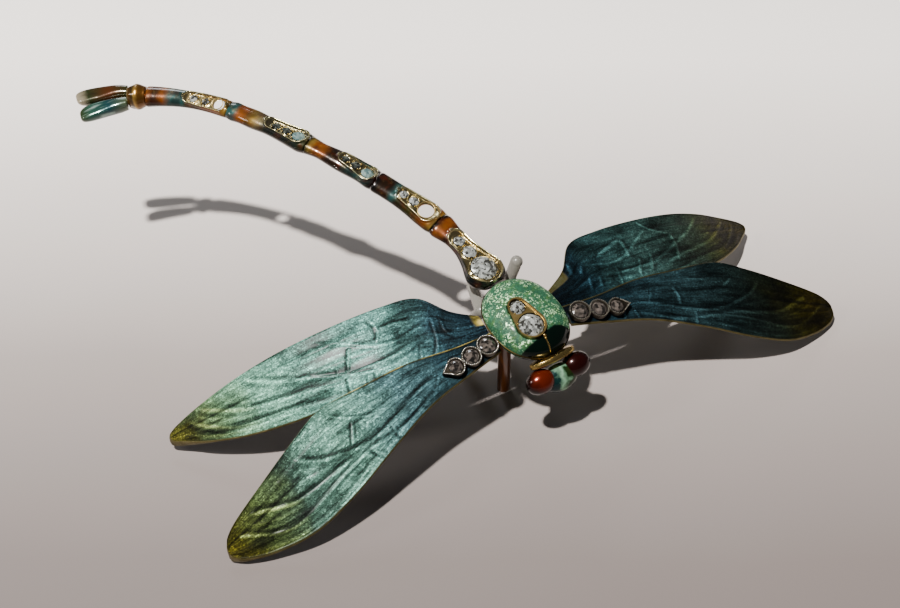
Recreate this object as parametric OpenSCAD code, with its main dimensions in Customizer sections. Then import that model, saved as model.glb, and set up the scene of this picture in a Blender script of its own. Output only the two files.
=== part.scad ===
// Insect brooch: an enamelled gold dragonfly set with round diamonds, held on three display pins.
// Millimetres. Z is up and the surface is z = 0. The head points to -Y and the wings spread along X.

/* [Wings] */
// Wing tip to wing tip
wing_span = 78.8; // [64:0.2:100]
// Height of the wing roots above the surface
wing_height = 10.5; // [8:0.1:14]
// Thickness of the enamelled wing plates
wing_thick = 0.9; // [0.6:0.05:1.3]
// Front to rear reach of a fore wing from its root line
fore_wing_depth = 10; // [7:0.1:13]
// Front to rear reach of a hind wing from the thorax's middle
hind_wing_depth = 11.6; // [9:0.1:14]
// Height of the raised ribs on the wings
rib_height = 0.22; // [0:0.02:0.4]

/* [Thorax] */
// Width of the thorax
thorax_width = 9; // [8:0.1:11]
// Length of the thorax along its own axis
thorax_length = 10.6; // [9.5:0.1:13]
// Height of the dome above the thorax's widest line
thorax_dome = 2.3; // [1.8:0.1:3.5]
// Depth of the thorax below its widest line
thorax_belly = 2.6; // [1.8:0.1:3.2]
// How far the thorax dips to the head, in degrees
thorax_dip = 15; // [5:1:22]
// How far the body turns to its side between the wings, in degrees
body_turn = 8; // [0:1:15]
// Height of the raised stone frame over the dome
cartouche_rise = 0.45; // [0.2:0.05:0.8]

/* [Head] */
// Outside width of the two eyes together
head_width = 8.2; // [6.5:0.1:10]
// Diameter of an eye from front to back
eye_depth = 2.8; // [2.2:0.1:3.6]
// How much higher the right eye sits, in degrees
head_roll = 5; // [0:1:10]
// Width of the gold collar band
collar_band = 0.7; // [0.5:0.1:1.1]

/* [Abdomen] */
// Length of the abdomen from its root to the end of the tail ring
abdomen_length = 52.3; // [40:0.1:65]
// Width of the abdomen at its widest, over the first large stone
abdomen_width = 5; // [4.4:0.1:5.8]
// Height of the abdomen's section as a share of its width, in percent
abdomen_flat = 60; // [50:1:75]
// How far the abdomen bends to its side, in degrees
abdomen_bend = 72; // [10:1:90]
// How steeply the abdomen rises at its root, in degrees
abdomen_rise = 18; // [5:1:30]
// How far the tail end rolls to its side, in degrees
abdomen_roll = 22; // [0:1:40]
// Height of the gold wire round each group of stones
wire_rise = 0.22; // [0.1:0.02:0.35]
// Width of that gold wire
wire_width = 0.32; // [0.2:0.02:0.45]
// Length of the two tail claspers
clasper_length = 6.2; // [4:0.1:9]
// Width of one clasper
clasper_width = 2.2; // [1.4:0.1:2.6]

/* [Stones] */
// Diameter of the large stone at the abdomen's root
root_stone_d = 3.1; // [2.4:0.1:3.3]
// Diameter of the large stone on the thorax
thorax_stone_d = 2.8; // [1.8:0.1:3]
// Diameter of the small stone on the thorax
thorax_small_d = 1.7; // [1.2:0.1:2]
// Diameter of the largest of the three stones on a wing root
wing_stone_d = 1.9; // [1.5:0.05:2.1]
// Diameter of the empty setting nearest the thorax
near_hole_d = 1.9; // [1.2:0.05:2.1]
// Diameter of the empty setting nearest the tail
far_hole_d = 1.3; // [0.8:0.05:1.4]
// Gap between two neighbouring stones of the abdomen
stone_gap = 0.28; // [0.22:0.02:0.4]
// Wall of a setting round a stone
setting_wall = 0.3; // [0.2:0.02:0.4]

/* [Pins] */
// Diameter of the brooch's own needle
needle_d = 0.7; // [0.5:0.05:1]
// Distance between the needle's hinge and its catch
needle_reach = 19; // [14:0.5:24]
// Clear height between the needle and the wings, for cloth
cloth_gap = 4.4; // [4.2:0.1:6]
// Diameter of the display post under the thorax
post_d = 1.5; // [1:0.1:2]
// Diameter of the two clear sleeved display pins
sleeve_d = 1.4; // [1:0.1:1.8]

/* [Fit] */
// Gap left between two pieces that are fitted together
fit_gap = 0.08; // [0.04:0.01:0.15]

/* [Hidden] */

gold = [0.83, 0.66, 0.32];
silver = [0.7, 0.68, 0.62];
jade = [0.32, 0.62, 0.48];
ice = [0.86, 0.9, 0.93];
sea = [0.36, 0.58, 0.6];
amber = [0.62, 0.26, 0.08];
clear = [0.85, 0.87, 0.88];

// Cubic interpolation in a table whose first column is the parameter
function row_at(tab, t, i = 0) = (i >= len(tab) - 2 || t < tab[i + 1][0]) ? i : row_at(tab, t, i + 1);
function slope_at(tab, i, c) =
  let (a = max(i - 1, 0), b = min(i + 1, len(tab) - 1)) (tab[b][c] - tab[a][c]) / (tab[b][0] - tab[a][0]);
function read_at(tab, c, t) =
  let (i = row_at(tab, t), h = tab[i + 1][0] - tab[i][0], s = (t - tab[i][0]) / h)
  (2 * pow(s, 3) - 3 * s * s + 1) * tab[i][c] + (3 * s * s - 2 * pow(s, 3)) * tab[i + 1][c]
  + (pow(s, 3) - 2 * s * s + s) * h * slope_at(tab, i, c)
  + (pow(s, 3) - s * s) * h * slope_at(tab, i + 1, c);
function mix(a, b, t) = a + (b - a) * t;
function unit(v) = v / norm(v);

// A closed skin through rings of points that turn anticlockwise about the direction of travel
module skin(rings, start, end) {
  n = len(rings);
  m = len(rings[0]);
  points = concat([for (r = rings) for (p = r) p], [start, end]);
  sides = [for (i = [0:n - 2]) for (j = [0:m - 1])
    let (k = (j + 1) % m, a = i * m, b = (i + 1) * m)
    each [[a + j, b + j, b + k], [a + j, b + k, a + k]]];
  caps = [for (j = [0:m - 1])
    let (k = (j + 1) % m)
    each [[n * m, j, k], [n * m + 1, (n - 1) * m + k, (n - 1) * m + j]]];
  polyhedron(points, concat(sides, caps), convexity = 6);
}

// A frame for placing things: the columns are two directions, the normal and the point
module place(f) {
  multmatrix([for (i = [0:2]) [f[0][i], f[1][i], f[2][i], f[3][i]]]) children();
}

// An old-cut stone: a table, eight kites and sixteen halves above, sixteen facets below
crown_share = 0.17;
depth_share = 0.4;
girdle_share = 0.04;
module stone(d, deep = depth_share) {
  r = d / 2;
  g = d * girdle_share;
  rows = [for (q = [[8, 22.5, 0.55, d * crown_share + g], [8, 0, 0.82, d * crown_share * 0.5 + g],
      [16, 0, 1, g], [16, 0, 1, 0]])
    [for (k = [0:q[0] - 1]) [r * q[2] * cos(q[1] + k * 360 / q[0]), r * q[2] * sin(q[1] + k * 360 / q[0]), q[3]]]];
  points = concat(rows[0], rows[1], rows[2], rows[3], [[0, 0, -d * deep]]);
  table = [[7, 6, 5, 4, 3, 2, 1, 0]];
  kites = [for (k = [0:7]) let (n = (k + 1) % 8)
    each [[k, n, 8 + n], [k, 8 + n, 8 + k]]];
  halves = [for (k = [0:7]) let (n = (k + 1) % 8, g0 = 16 + 2 * k, g1 = g0 + 1, g2 = 16 + (2 * k + 2) % 16)
    each [[8 + k, g1, g0], [8 + k, 8 + n, g1], [8 + n, g2, g1]]];
  girdle = [for (k = [0:15]) let (n = (k + 1) % 16)
    each [[16 + k, 16 + n, 32 + n], [16 + k, 32 + n, 32 + k]]];
  below = [for (k = [0:15]) let (n = (k + 1) % 16) [32 + k, 32 + n, 48]];
  polyhedron(points, concat(table, kites, halves, girdle, below), convexity = 3);
}
// The hole that such a stone is dropped into
module seat(d, deep = depth_share) {
  translate([0, 0, -d * deep - fit_gap]) cylinder(d = d + 2 * fit_gap, h = d + 2, $fn = 32);
}

// THORAX
thorax_z = wing_height + 0.7;
body_x = -0.3;
rear_y = thorax_length / 2 * cos(thorax_dip);
rear_z = thorax_z + thorax_length / 2 * sin(thorax_dip);
thorax_frame = [[1, 0, 0], [0, cos(thorax_dip), sin(thorax_dip)], [0, -sin(thorax_dip), cos(thorax_dip)], [0, 0, thorax_z]];
// The body lies turned between the wings; children are in the body's own frame
module body_place() {
  translate([body_x, 0, 0]) rotate([0, 0, body_turn]) children();
}
function body_point(y, z) = [body_x - y * sin(body_turn), y * cos(body_turn), z];

// Half width and height of the thorax at a share of its half length
function thorax_scale(s) = pow(1 - pow(abs(s), 2.3), 1 / 2.1);
// The dome sits a little to the right of the body's own line
dome_x = 0.25;
module thorax_body(grow = 0) {
  steps = 13;
  rings = [for (i = [0:steps - 1])
    let (s = 0.985 * sin(-82 + 164 * i / (steps - 1)), w = thorax_scale(s))
    [for (j = [0:23]) let (a = -15 * j)
      [dome_x + (thorax_width / 2 + grow) * w * cos(a), (thorax_length / 2 + grow) * s,
        ((sin(a) > 0 ? thorax_dome : thorax_belly) + grow) * w * sin(a)]]];
  skin(rings, [dome_x, -thorax_length / 2 - grow, 0], [dome_x, thorax_length / 2 + grow, 0]);
}

// The stone frame on the dome, drawn round its two stones
small_y = 0.08 * thorax_length;
large_y = small_y - (thorax_small_d + thorax_stone_d) / 2 - 1.1 * setting_wall;
cartouche_z = thorax_dome * 0.82;
// The frame sits to the left of the dome's middle and leans with the dome
module frame_place() {
  body_place() place(thorax_frame) translate([-0.0675 * thorax_width, 0, 0]) rotate([3, -7, 0]) children();
}
function cartouche_outline(grow) =
  let (rs = thorax_small_d / 2 + setting_wall + grow, rl = thorax_stone_d / 2 + setting_wall + grow,
    k = asin((rl - rs) / (small_y - large_y)))
  concat([for (i = [0:10]) let (a = mix(k, 180 - k, i / 10)) [rs * cos(a), small_y + rs * sin(a)]],
    [for (i = [0:16]) let (a = mix(180 - k, 360 + k, i / 16)) [rl * cos(a), large_y + rl * sin(a)]]);

module thorax() {
  color(jade) difference() {
    body_place() place(thorax_frame) thorax_body();
    frame_place() translate([0, 0, cartouche_z - 0.9 - fit_gap]) linear_extrude(height = 5)
      polygon(cartouche_outline(fit_gap));
    frame_place() translate([0, large_y, cartouche_z - thorax_stone_d * (depth_share + 0.1)])
      cylinder(d = thorax_stone_d, h = 3, $fn = 32);
  }
}
module thorax_cartouche() {
  color(gold) frame_place() difference() {
    translate([0, 0, cartouche_z - 0.9]) linear_extrude(height = 0.9 + cartouche_rise) polygon(cartouche_outline(0));
    translate([0, 0, cartouche_z + cartouche_rise - wire_rise])
      linear_extrude(height = 1) polygon(cartouche_outline(-setting_wall * 0.6));
    translate([0, small_y, cartouche_z]) seat(thorax_small_d);
    translate([0, large_y, cartouche_z]) seat(thorax_stone_d);
  }
}
module thorax_stone_small() {
  color(ice) frame_place() translate([0, small_y, cartouche_z]) stone(thorax_small_d);
}
module thorax_stone_large() {
  color(ice) frame_place() translate([0, large_y, cartouche_z]) stone(thorax_stone_d);
}

// WINGS
root_x = thorax_width / 2 - 0.05;
half_span = wing_span / 2;

// columns: share along; front edge x, y, z; rear edge x, y, z
// x is a share of the way from the root to the tip, y of the wing's depth, z of the root height
fore_table = [
  [0.00, 0.000, -0.24, 0.93, 0.000, 0.01, 1.000],
  [0.14, 0.12, -0.345, 0.88, 0.13, -0.01, 1.000],
  [0.30, 0.28, -0.48, 0.78, 0.29, 0.03, 0.985],
  [0.45, 0.45, -0.70, 0.59, 0.44, 0.02, 0.920],
  [0.60, 0.60, -0.89, 0.37, 0.60, -0.02, 0.850],
  [0.72, 0.745, -0.985, 0.16, 0.715, -0.17, 0.690],
  [0.84, 0.875, -0.94, 0.035, 0.845, -0.365, 0.460],
  [0.93, 0.960, -0.855, 0.000, 0.950, -0.52, 0.250],
  [0.975, 0.993, -0.775, 0.010, 0.988, -0.60, 0.145],
  [1.00, 1.000, -0.725, 0.030, 1.000, -0.67, 0.085]];
hind_table = [
  [0.00, 0.00, 0.02, 0.95, 0.00, 0.25, 1.03],
  [0.12, 0.11, 0.005, 0.90, 0.08, 0.385, 1.10],
  [0.24, 0.21, 0.01, 0.855, 0.155, 0.64, 1.17],
  [0.38, 0.36, 0.03, 0.74, 0.275, 0.72, 1.14],
  [0.52, 0.51, 0.16, 0.58, 0.45, 0.80, 1.01],
  [0.65, 0.65, 0.27, 0.43, 0.62, 0.875, 0.82],
  [0.77, 0.775, 0.41, 0.30, 0.76, 0.935, 0.59],
  [0.88, 0.885, 0.60, 0.18, 0.88, 0.975, 0.34],
  [0.955, 0.955, 0.775, 0.10, 0.96, 0.965, 0.18],
  [0.985, 0.985, 0.85, 0.075, 0.988, 0.945, 0.115],
  [1.00, 0.993, 0.88, 0.08, 0.995, 0.915, 0.095]];
// The lines that run along a wing; columns: share across at the root, at the tip, height of its rib
rib_table = [
  [0.00, 0.00, 0.9], [0.05, 0.06, 0.0], [0.19, 0.16, 0.0], [0.24, 0.20, 0.8], [0.29, 0.24, 0.0],
  [0.45, 0.42, 0.0], [0.50, 0.47, 0.6], [0.55, 0.52, 0.0], [0.71, 0.70, 0.0], [0.76, 0.75, 0.8],
  [0.81, 0.80, 0.0], [0.94, 0.93, 0.0], [1.00, 1.00, 1.3]];
wing_steps = 24;
camber = wing_height / 30;

// A point of a wing's middle surface, t along and v across from front to rear
function wing_point(tab, depth, t, v) =
  let (f = [for (c = [1:3]) read_at(tab, c, t)], r = [for (c = [4:6]) read_at(tab, c, t)],
    q = [for (c = [0:2]) mix(f[c], r[c], v)])
  [root_x + fit_gap + q[0] * (half_span - root_x - fit_gap), q[1] * depth,
    wing_thick / 2 + max(q[2], 0) * (wing_height - wing_thick / 2) + camber * 4 * v * (1 - v) * (1 - t)];
function wing_frame(tab, depth, t, v) =
  let (p = wing_point(tab, depth, t, v),
    a = unit(wing_point(tab, depth, t + 0.02, v) - p),
    b = wing_point(tab, depth, t, v + 0.05) - p,
    n = unit(cross(a, b)))
  [a, cross(n, a), n, p];
function rib_fade(t) = min(1, max(0, (t - 0.2) / 0.25)) * (1 - 0.8 * t * t);

module wing(tab, depth) {
  rings = [for (i = [0:wing_steps])
    let (u = 1 - pow(1 - i / wing_steps, 1.3),
      line = [for (k = rib_table) [wing_point(tab, depth, u, mix(k[0], k[1], u)), k[2]]])
    concat([for (k = [len(line) - 1:-1:0]) line[k][0] + [0, 0, wing_thick / 2 + rib_height * line[k][1] * rib_fade(u)]],
      [for (k = [0:len(line) - 1]) line[k][0] - [0, 0, wing_thick / 2]])];
  skin(rings, wing_point(tab, depth, 0, 0.5), wing_point(tab, depth, 1, 0.5));
}
module fore_wing() {
  wing(fore_table, fore_wing_depth);
}
module hind_wing() {
  wing(hind_table, hind_wing_depth);
}
module fore_wing_right() {
  color(sea) fore_wing();
}
module fore_wing_left() {
  color(sea) mirror([1, 0, 0]) fore_wing();
}
module hind_wing_right() {
  color(sea) hind_wing();
}
module hind_wing_left() {
  color(sea) mirror([1, 0, 0]) hind_wing();
}

// The row of three stones on a wing root
// columns: share of the largest stone, gap to the one before it as a share of the setting wall
root_stones = [[1, 0], [0.9, 1.5], [0.8, 1.3]];
root_depth = 0.25;
bezel_h = wing_stone_d * 0.26;
function stone_size(i) = wing_stone_d * root_stones[i][0];
function stone_run(i) = i == 0 ? root_x + wing_stone_d / 2 + setting_wall + 2 * fit_gap
  : stone_run(i - 1) + (stone_size(i) + stone_size(i - 1)) / 2 + setting_wall * root_stones[i][1];
function root_share(i) = (stone_run(i) - root_x) / (half_span - root_x) * 1.12;
function stone_across(i) = 0.46 - 0.03 * i;
function root_frame(share, across) =
  let (f = wing_frame(fore_table, fore_wing_depth, share, across))
  [f[0], f[1], f[2], f[3] + f[2] * (wing_thick / 2 + fit_gap + 0.06)];
function root_stone_frame(i) = root_frame(root_share(i), stone_across(i));
// Solder fills the waist between two neighbouring bezels
function solder_frame(i) =
  root_frame((root_share(i) + root_share(i + 1)) / 2, (stone_across(i) + stone_across(i + 1)) / 2);
module bezel_row() {
  last = len(root_stones) - 1;
  difference() {
    union() {
      for (i = [0:last]) place(root_stone_frame(i)) cylinder(d = stone_size(i) + 2 * setting_wall, h = bezel_h, $fn = 48);
      for (i = [0:last - 1]) place(solder_frame(i)) cylinder(d = 3 * setting_wall, h = bezel_h * 0.8, $fn = 32);
      place(root_stone_frame(last)) linear_extrude(height = bezel_h) polygon([
        [0, stone_size(last) / 2 + setting_wall * 0.9],
        [0, -stone_size(last) / 2 - setting_wall * 0.9],
        [stone_size(last) * 0.95 + setting_wall, 0]]);
    }
    for (i = [0:last]) place(root_stone_frame(i)) translate([0, 0, bezel_h * 0.8]) seat(stone_size(i), root_depth);
  }
}
module root_stone(i) {
  place(root_stone_frame(i)) translate([0, 0, bezel_h * 0.8]) stone(stone_size(i), root_depth);
}
module bezel_row_right() {
  color(silver) bezel_row();
}
module bezel_row_left() {
  color(silver) mirror([1, 0, 0]) bezel_row();
}
module wing_stone_right_1() {
  color(ice) root_stone(0);
}
module wing_stone_right_2() {
  color(ice) root_stone(1);
}
module wing_stone_right_3() {
  color(ice) root_stone(2);
}
module wing_stone_left_1() {
  color(ice) mirror([1, 0, 0]) root_stone(0);
}
module wing_stone_left_2() {
  color(ice) mirror([1, 0, 0]) root_stone(1);
}
module wing_stone_left_3() {
  color(ice) mirror([1, 0, 0]) root_stone(2);
}

// HEAD
neck_y = -thorax_length / 2 * cos(thorax_dip);
neck_z = thorax_z - thorax_length / 2 * sin(thorax_dip);
head_dip = 50;
head_turn = 3 - body_turn;
head_at = [0, neck_y + 0.05, neck_z - 0.55];
collar_top = 0.35;
eye_w = head_width * 0.43;
eye_h = eye_depth * 0.92;
collar_w = head_width * 0.69;
collar_h = head_width * 0.366;
module head_place() {
  body_place() translate(head_at) rotate([0, -head_roll, head_turn]) rotate([head_dip, 0, 0]) children();
}
// An egg whose long axis lies along X; the inner and outer ends have their own lengths
module egg(inner, outer, deep, high, n = 16) {
  rings = [for (i = [1:9])
    let (a = -90 + 18 * i, c = cos(a), s = sin(a))
    [for (j = [0:n - 1]) let (b = 360 * j / n) [(s < 0 ? inner : outer) * s, deep / 2 * c * cos(b), high / 2 * c * sin(b)]]];
  skin(rings, [-inner, 0, 0], [outer, 0, 0]);
}
// The collar is dished at the back, where it seats on the front of the thorax
module head_collar() {
  rings = [for (q = [[0, 0.8], [0.25, 0.98], [0.75, 1], [1, 0.9]])
    [for (j = [0:27]) let (b = -360 * j / 28)
      [collar_w / 2 * q[1] * cos(b), collar_top + collar_band * (q[0] - 1), collar_h / 2 * q[1] * sin(b)]]];
  color(gold) difference() {
    head_place() skin(rings, [0, collar_top - collar_band, 0], [0, collar_top, 0]);
    body_place() place(thorax_frame) thorax_body(fit_gap);
  }
}
eye_x = head_width / 2 - eye_w * 0.52;
eye_y = collar_top - collar_band - fit_gap - eye_depth / 2;
module eye() {
  translate([eye_x, eye_y, 0]) egg(eye_w * 0.48, eye_w * 0.52, eye_depth, eye_h);
}
module eye_right() {
  color(amber) head_place() eye();
}
module eye_left() {
  color(amber) head_place() mirror([1, 0, 0]) eye();
}
// The face fills the space between the eyes and bulges forward under them
face_y = eye_y - eye_depth * 0.12;
module face() {
  color(jade) head_place() difference() {
    translate([0, face_y, -0.1]) rotate([0, 0, 90])
      egg(eye_depth * 0.62, eye_depth * 0.5, head_width * 0.56, eye_h * 0.9, 20);
    for (m = [-1, 1]) scale([m, 1, 1]) translate([eye_x, eye_y, 0])
      egg(eye_w * 0.48 + fit_gap, eye_w * 0.52 + fit_gap, eye_depth + 2 * fit_gap, eye_h + 2 * fit_gap);
    translate([-5, collar_top - collar_band - fit_gap, -5]) cube(10);
  }
}

// ABDOMEN
// The way of the abdomen; columns: share of its length, of the bend turned, of the rise left, of the roll
way_table = [
  [0.00, 0.08, 1.16, 0.0], [0.06, 0.14, 1.03, 0.0], [0.12, 0.20, 0.95, 0.1], [0.18, 0.30, 0.95, 0.3], [0.25, 0.41, 1.05, 0.3],
  [0.33, 0.475, 1.04, 0.2], [0.41, 0.485, 0.87, 0.0], [0.52, 0.475, 0.60, 0.0], [0.64, 0.455, 0.40, 0.1], [0.72, 0.475, 0.21, 0.6],
  [0.79, 0.525, 0.01, 1.0], [0.87, 0.62, -0.15, 1.0], [0.94, 0.74, -0.28, 0.8], [1.00, 0.88, -0.39, 0.7], [1.12, 1.08, -0.52, 0.6]];
way_steps = 64;
way_length = abdomen_length + clasper_length;
way_ds = way_length / way_steps;
way_start = body_point(rear_y + 0.3, rear_z + 0.05) - [0.12, 0, 0];
function turned(s) = -abdomen_bend * read_at(way_table, 1, s / abdomen_length);
function rising(s) = abdomen_rise * read_at(way_table, 2, s / abdomen_length);
function ahead(s) = let (h = turned(s), c = rising(s)) [sin(h) * cos(c), cos(h) * cos(c), sin(c)];
way = [for (i = 0, p = way_start; i <= way_steps; p = p + way_ds * ahead((i + 0.5) * way_ds), i = i + 1) p];
function way_at(s) =
  let (q = max(0, min(way_steps - 0.001, s / way_ds)), i = floor(q))
  mix(way[i], way[i + 1], q - i) + min(0, s) * ahead(0);
function way_frame(s) =
  let (t = ahead(max(0, s)), flat = [cos(turned(max(0, s))), -sin(turned(max(0, s))), 0], up = cross(flat, t),
    r = abdomen_roll * read_at(way_table, 3, max(0, s) / abdomen_length), side = flat * cos(r) + up * sin(r))
  [side, t, cross(side, t), way_at(s)];

// columns: place along as a share of the length, width as a share of the widest
width_table = [
  [0.00, 0.56], [0.012, 0.84], [0.032, 1.00], [0.05, 0.92], [0.067, 0.78], [0.085, 0.66], [0.105, 0.56],
  [0.125, 0.525], [0.142, 0.535], [0.161, 0.61], [0.18, 0.69], [0.1905, 0.655], [0.202, 0.71], [0.223, 0.715],
  [0.24, 0.70], [0.26, 0.655], [0.295, 0.605], [0.335, 0.60], [0.355, 0.61], [0.3605, 0.575], [0.372, 0.61],
  [0.398, 0.555], [0.418, 0.565], [0.448, 0.575], [0.475, 0.53], [0.505, 0.475], [0.525, 0.52], [0.5355, 0.555],
  [0.552, 0.63], [0.567, 0.61], [0.60, 0.545], [0.64, 0.495], [0.678, 0.53], [0.715, 0.49], [0.735, 0.51],
  [0.748, 0.45], [0.755, 0.465], [0.79, 0.445], [0.83, 0.435], [0.87, 0.45], [0.905, 0.49], [0.93, 0.49],
  [0.956, 0.50], [1.00, 0.48]];
function half_wide(s) = abdomen_width / 2 * read_at(width_table, 1, s / abdomen_length);
function half_high(s) = half_wide(s) * abdomen_flat / 100 * mix(1, 1.45, s / abdomen_length);

// Segments; columns: start, end, start of its group of stones and place of its first stone, as shares of the length;
// floor beyond its last stone as a share of the setting wall;
// half width of the group's floor at both ends, as shares of the abdomen's half width
seg_table = [
  [0.0000, 0.1905, 0.002, 0.0402, 2.3, 0.81, 0.37],
  [0.1920, 0.3605, 0.197, 0.262, 0.73, 0.50, 0.33],
  [0.3620, 0.5355, 0.364, 0.385, 1.2, 0.44, 0.27],
  [0.5370, 0.7475, 0.541, 0.564, 3.0, 0.44, 0.29],
  [0.7490, 0.9560, 0.753, 0.809, 2.4, 0.37, 0.25]];
// The stones; columns: diameter as a share of the abdomen's width, gap to the one before it as a share of stone_gap
stone_table = [
  [root_stone_d / abdomen_width, 0], [0.33, 1], [0.28, 1],
  [0.24, 0], [0.22, 1],
  [0.30, 0], [0.23, 1], [0.20, 1],
  [0.31, 0], [0.22, 1], [0.22, 1],
  [0.18, 0], [0.20, 2.3]];
// The first stone of each segment and the one after its last
first_stone = [0, 3, 5, 8, 11, 13];
function stone_wide(k) = stone_table[k][0] * abdomen_width;
function stone_place(i, k) = k == first_stone[i] ? seg_table[i][3] * abdomen_length
  : stone_place(i, k - 1) + (stone_wide(k) + stone_wide(k - 1)) / 2 + stone_table[k][1] * stone_gap;
function seg_start(i) = seg_table[i][0] * abdomen_length;
function seg_end(i) = seg_table[i][1] * abdomen_length - fit_gap;
function group_start(i) = seg_table[i][2] * abdomen_length + 0.05;
function group_end(i) = let (k = first_stone[i + 1] - 1)
  stone_place(i, k) + stone_wide(k) / 2 + seg_table[i][4] * setting_wall;
function group_wide(i) = seg_table[i][5] * abdomen_width / 2;
function group_narrow(i) = seg_table[i][6] * abdomen_width / 2;

// Half width of a group's floor: round at its wide end, round and narrower at the other
function group_half(i, s) =
  let (a = s - group_start(i), b = group_end(i) - s, p = group_wide(i), q = group_narrow(i))
  (a <= 0 || b <= 0) ? 0
  : a < p ? sqrt(max(0, p * p - (p - a) * (p - a)))
  : b < q ? sqrt(max(0, q * q - (q - b) * (q - b)))
  : mix(p, q, pow((a - p) / max(0.1, a + b - p - q), 0.8));
function crest(x, s) = half_high(s) * 0.8 * sqrt(max(0.02, 1 - pow(x / half_wide(s), 2)));
function floor_half(i, s) = max(0.05, min(group_half(i, s), half_wide(s) * 0.96 - wire_width));
function floor_at(i, s) = crest(floor_half(i, s) + wire_width, s) + 0.04;

// The section of a segment: a round belly, and on top a floor between two raised wires
function section(i, s) =
  let (w = half_wide(s), h = half_high(s), f = way_frame(s), on = group_half(i, s) > 0.02 ? 1 : 0,
    c = floor_half(i, s), o = c + wire_width, z = floor_at(i, s),
    upper = [[o, crest(o, s)], [mix(c, o, 0.6), mix(crest(c, s), z + wire_rise, on)],
      [c, mix(crest(c, s), z, on)], [c * 0.5, mix(crest(c * 0.5, s), z, on)]],
    ring = concat(
      [for (a = [-190:20:10]) [w * cos(a), h * sin(a) * (sin(a) > 0 ? 0.8 : 1)]],
      upper, [for (k = [3:-1:0]) [-upper[k][0], upper[k][1]]]))
  [for (k = [len(ring) - 1:-1:0]) f[3] + f[0] * ring[k][0] + f[2] * ring[k][1]];

// Rings lie closer together round the two ends of a group
function stations(i) =
  let (a = group_start(i), b = group_end(i), p = group_wide(i), q = group_narrow(i), z = seg_end(i))
  concat(a - seg_start(i) > 0.1 ? [seg_start(i)] : [],
    [for (k = [0, 0.12, 0.4, 0.8]) a + k * p],
    [for (k = [0:6]) mix(a + 1.2 * p, b - q, k / 6)],
    [for (k = [0.45, 0.12, 0]) b - k * q],
    [for (k = [1:4]) mix(b, z, k / 4)]);

// The empty settings lie just before the first stones of their segments
near_hole_at = stone_place(1, 3) - (stone_wide(3) + near_hole_d) / 2 - 0.9 * stone_gap;
far_hole_at = stone_place(4, 11) - (stone_wide(11) + far_hole_d) / 2 - 2.25 * stone_gap;
function stone_frame(i, k) =
  let (s = stone_place(i, k), f = way_frame(s))
  [f[0], f[1], f[2], f[3] + f[2] * (floor_at(i, s) + 0.03)];

// An empty setting is open right through; its hole leans to one side and widens under the floor
module empty_setting(s, d) {
  place(way_frame(s)) translate([0, 0, half_high(s) * 0.4]) rotate([0, -setting_lean, 0]) {
    cylinder(d = d, h = 8, center = true, $fn = 32);
    translate([0, 0, -4 - plate_thick]) cylinder(d1 = d + 6, d2 = d, h = 4, $fn = 32);
  }
}
setting_lean = 14;
plate_thick = 0.3;

module segment(i) {
  rings = [for (s = stations(i)) section(i, s)];
  difference() {
    skin(rings, way_at(seg_start(i)), way_at(seg_end(i)));
    for (k = [first_stone[i]:first_stone[i + 1] - 1]) place(stone_frame(i, k)) seat(stone_wide(k));
    if (i == 1) empty_setting(near_hole_at, near_hole_d);
    if (i == 4) empty_setting(far_hole_at, far_hole_d);
  }
}
module abdomen_stone(i, k) {
  color(ice) place(stone_frame(i, k)) stone(stone_wide(k));
}
module abdomen_1() {
  color(amber) segment(0);
}
module abdomen_2() {
  color(sea) segment(1);
}
module abdomen_3() {
  color(amber) segment(2);
}
module abdomen_4() {
  color(sea) segment(3);
}
module abdomen_5() {
  color(amber) segment(4);
}
module stone_1_large() {
  abdomen_stone(0, 0);
}
module stone_1_middle() {
  abdomen_stone(0, 1);
}
module stone_1_small() {
  abdomen_stone(0, 2);
}
module stone_2_middle() {
  abdomen_stone(1, 3);
}
module stone_2_small() {
  abdomen_stone(1, 4);
}
module stone_3_large() {
  abdomen_stone(2, 5);
}
module stone_3_middle() {
  abdomen_stone(2, 6);
}
module stone_3_small() {
  abdomen_stone(2, 7);
}
module stone_4_large() {
  abdomen_stone(3, 8);
}
module stone_4_middle() {
  abdomen_stone(3, 9);
}
module stone_4_small() {
  abdomen_stone(3, 10);
}
module stone_5_middle() {
  abdomen_stone(4, 11);
}
module stone_5_small() {
  abdomen_stone(4, 12);
}

// TAIL
ring_start = 0.9575 * abdomen_length;
ring_wide = 0.63 * abdomen_width / 2;
// columns: share along the ring, share of its half width
ring_table = [[0, 0.74], [0.12, 0.80], [0.38, 0.97], [0.52, 1.00], [0.68, 0.93], [0.86, 0.84], [1, 0.74]];
function round_ring(s, w, h, n) =
  let (f = way_frame(s))
  [for (j = [0:n - 1]) let (a = -360 * j / n) f[3] + f[0] * w * cos(a) + f[2] * h * sin(a)];
module tail_ring() {
  long = abdomen_length - ring_start;
  color(gold) skin([for (q = ring_table) round_ring(ring_start + q[0] * long, ring_wide * q[1], ring_wide * q[1], 20)],
    way_at(ring_start), way_at(abdomen_length));
}
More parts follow.
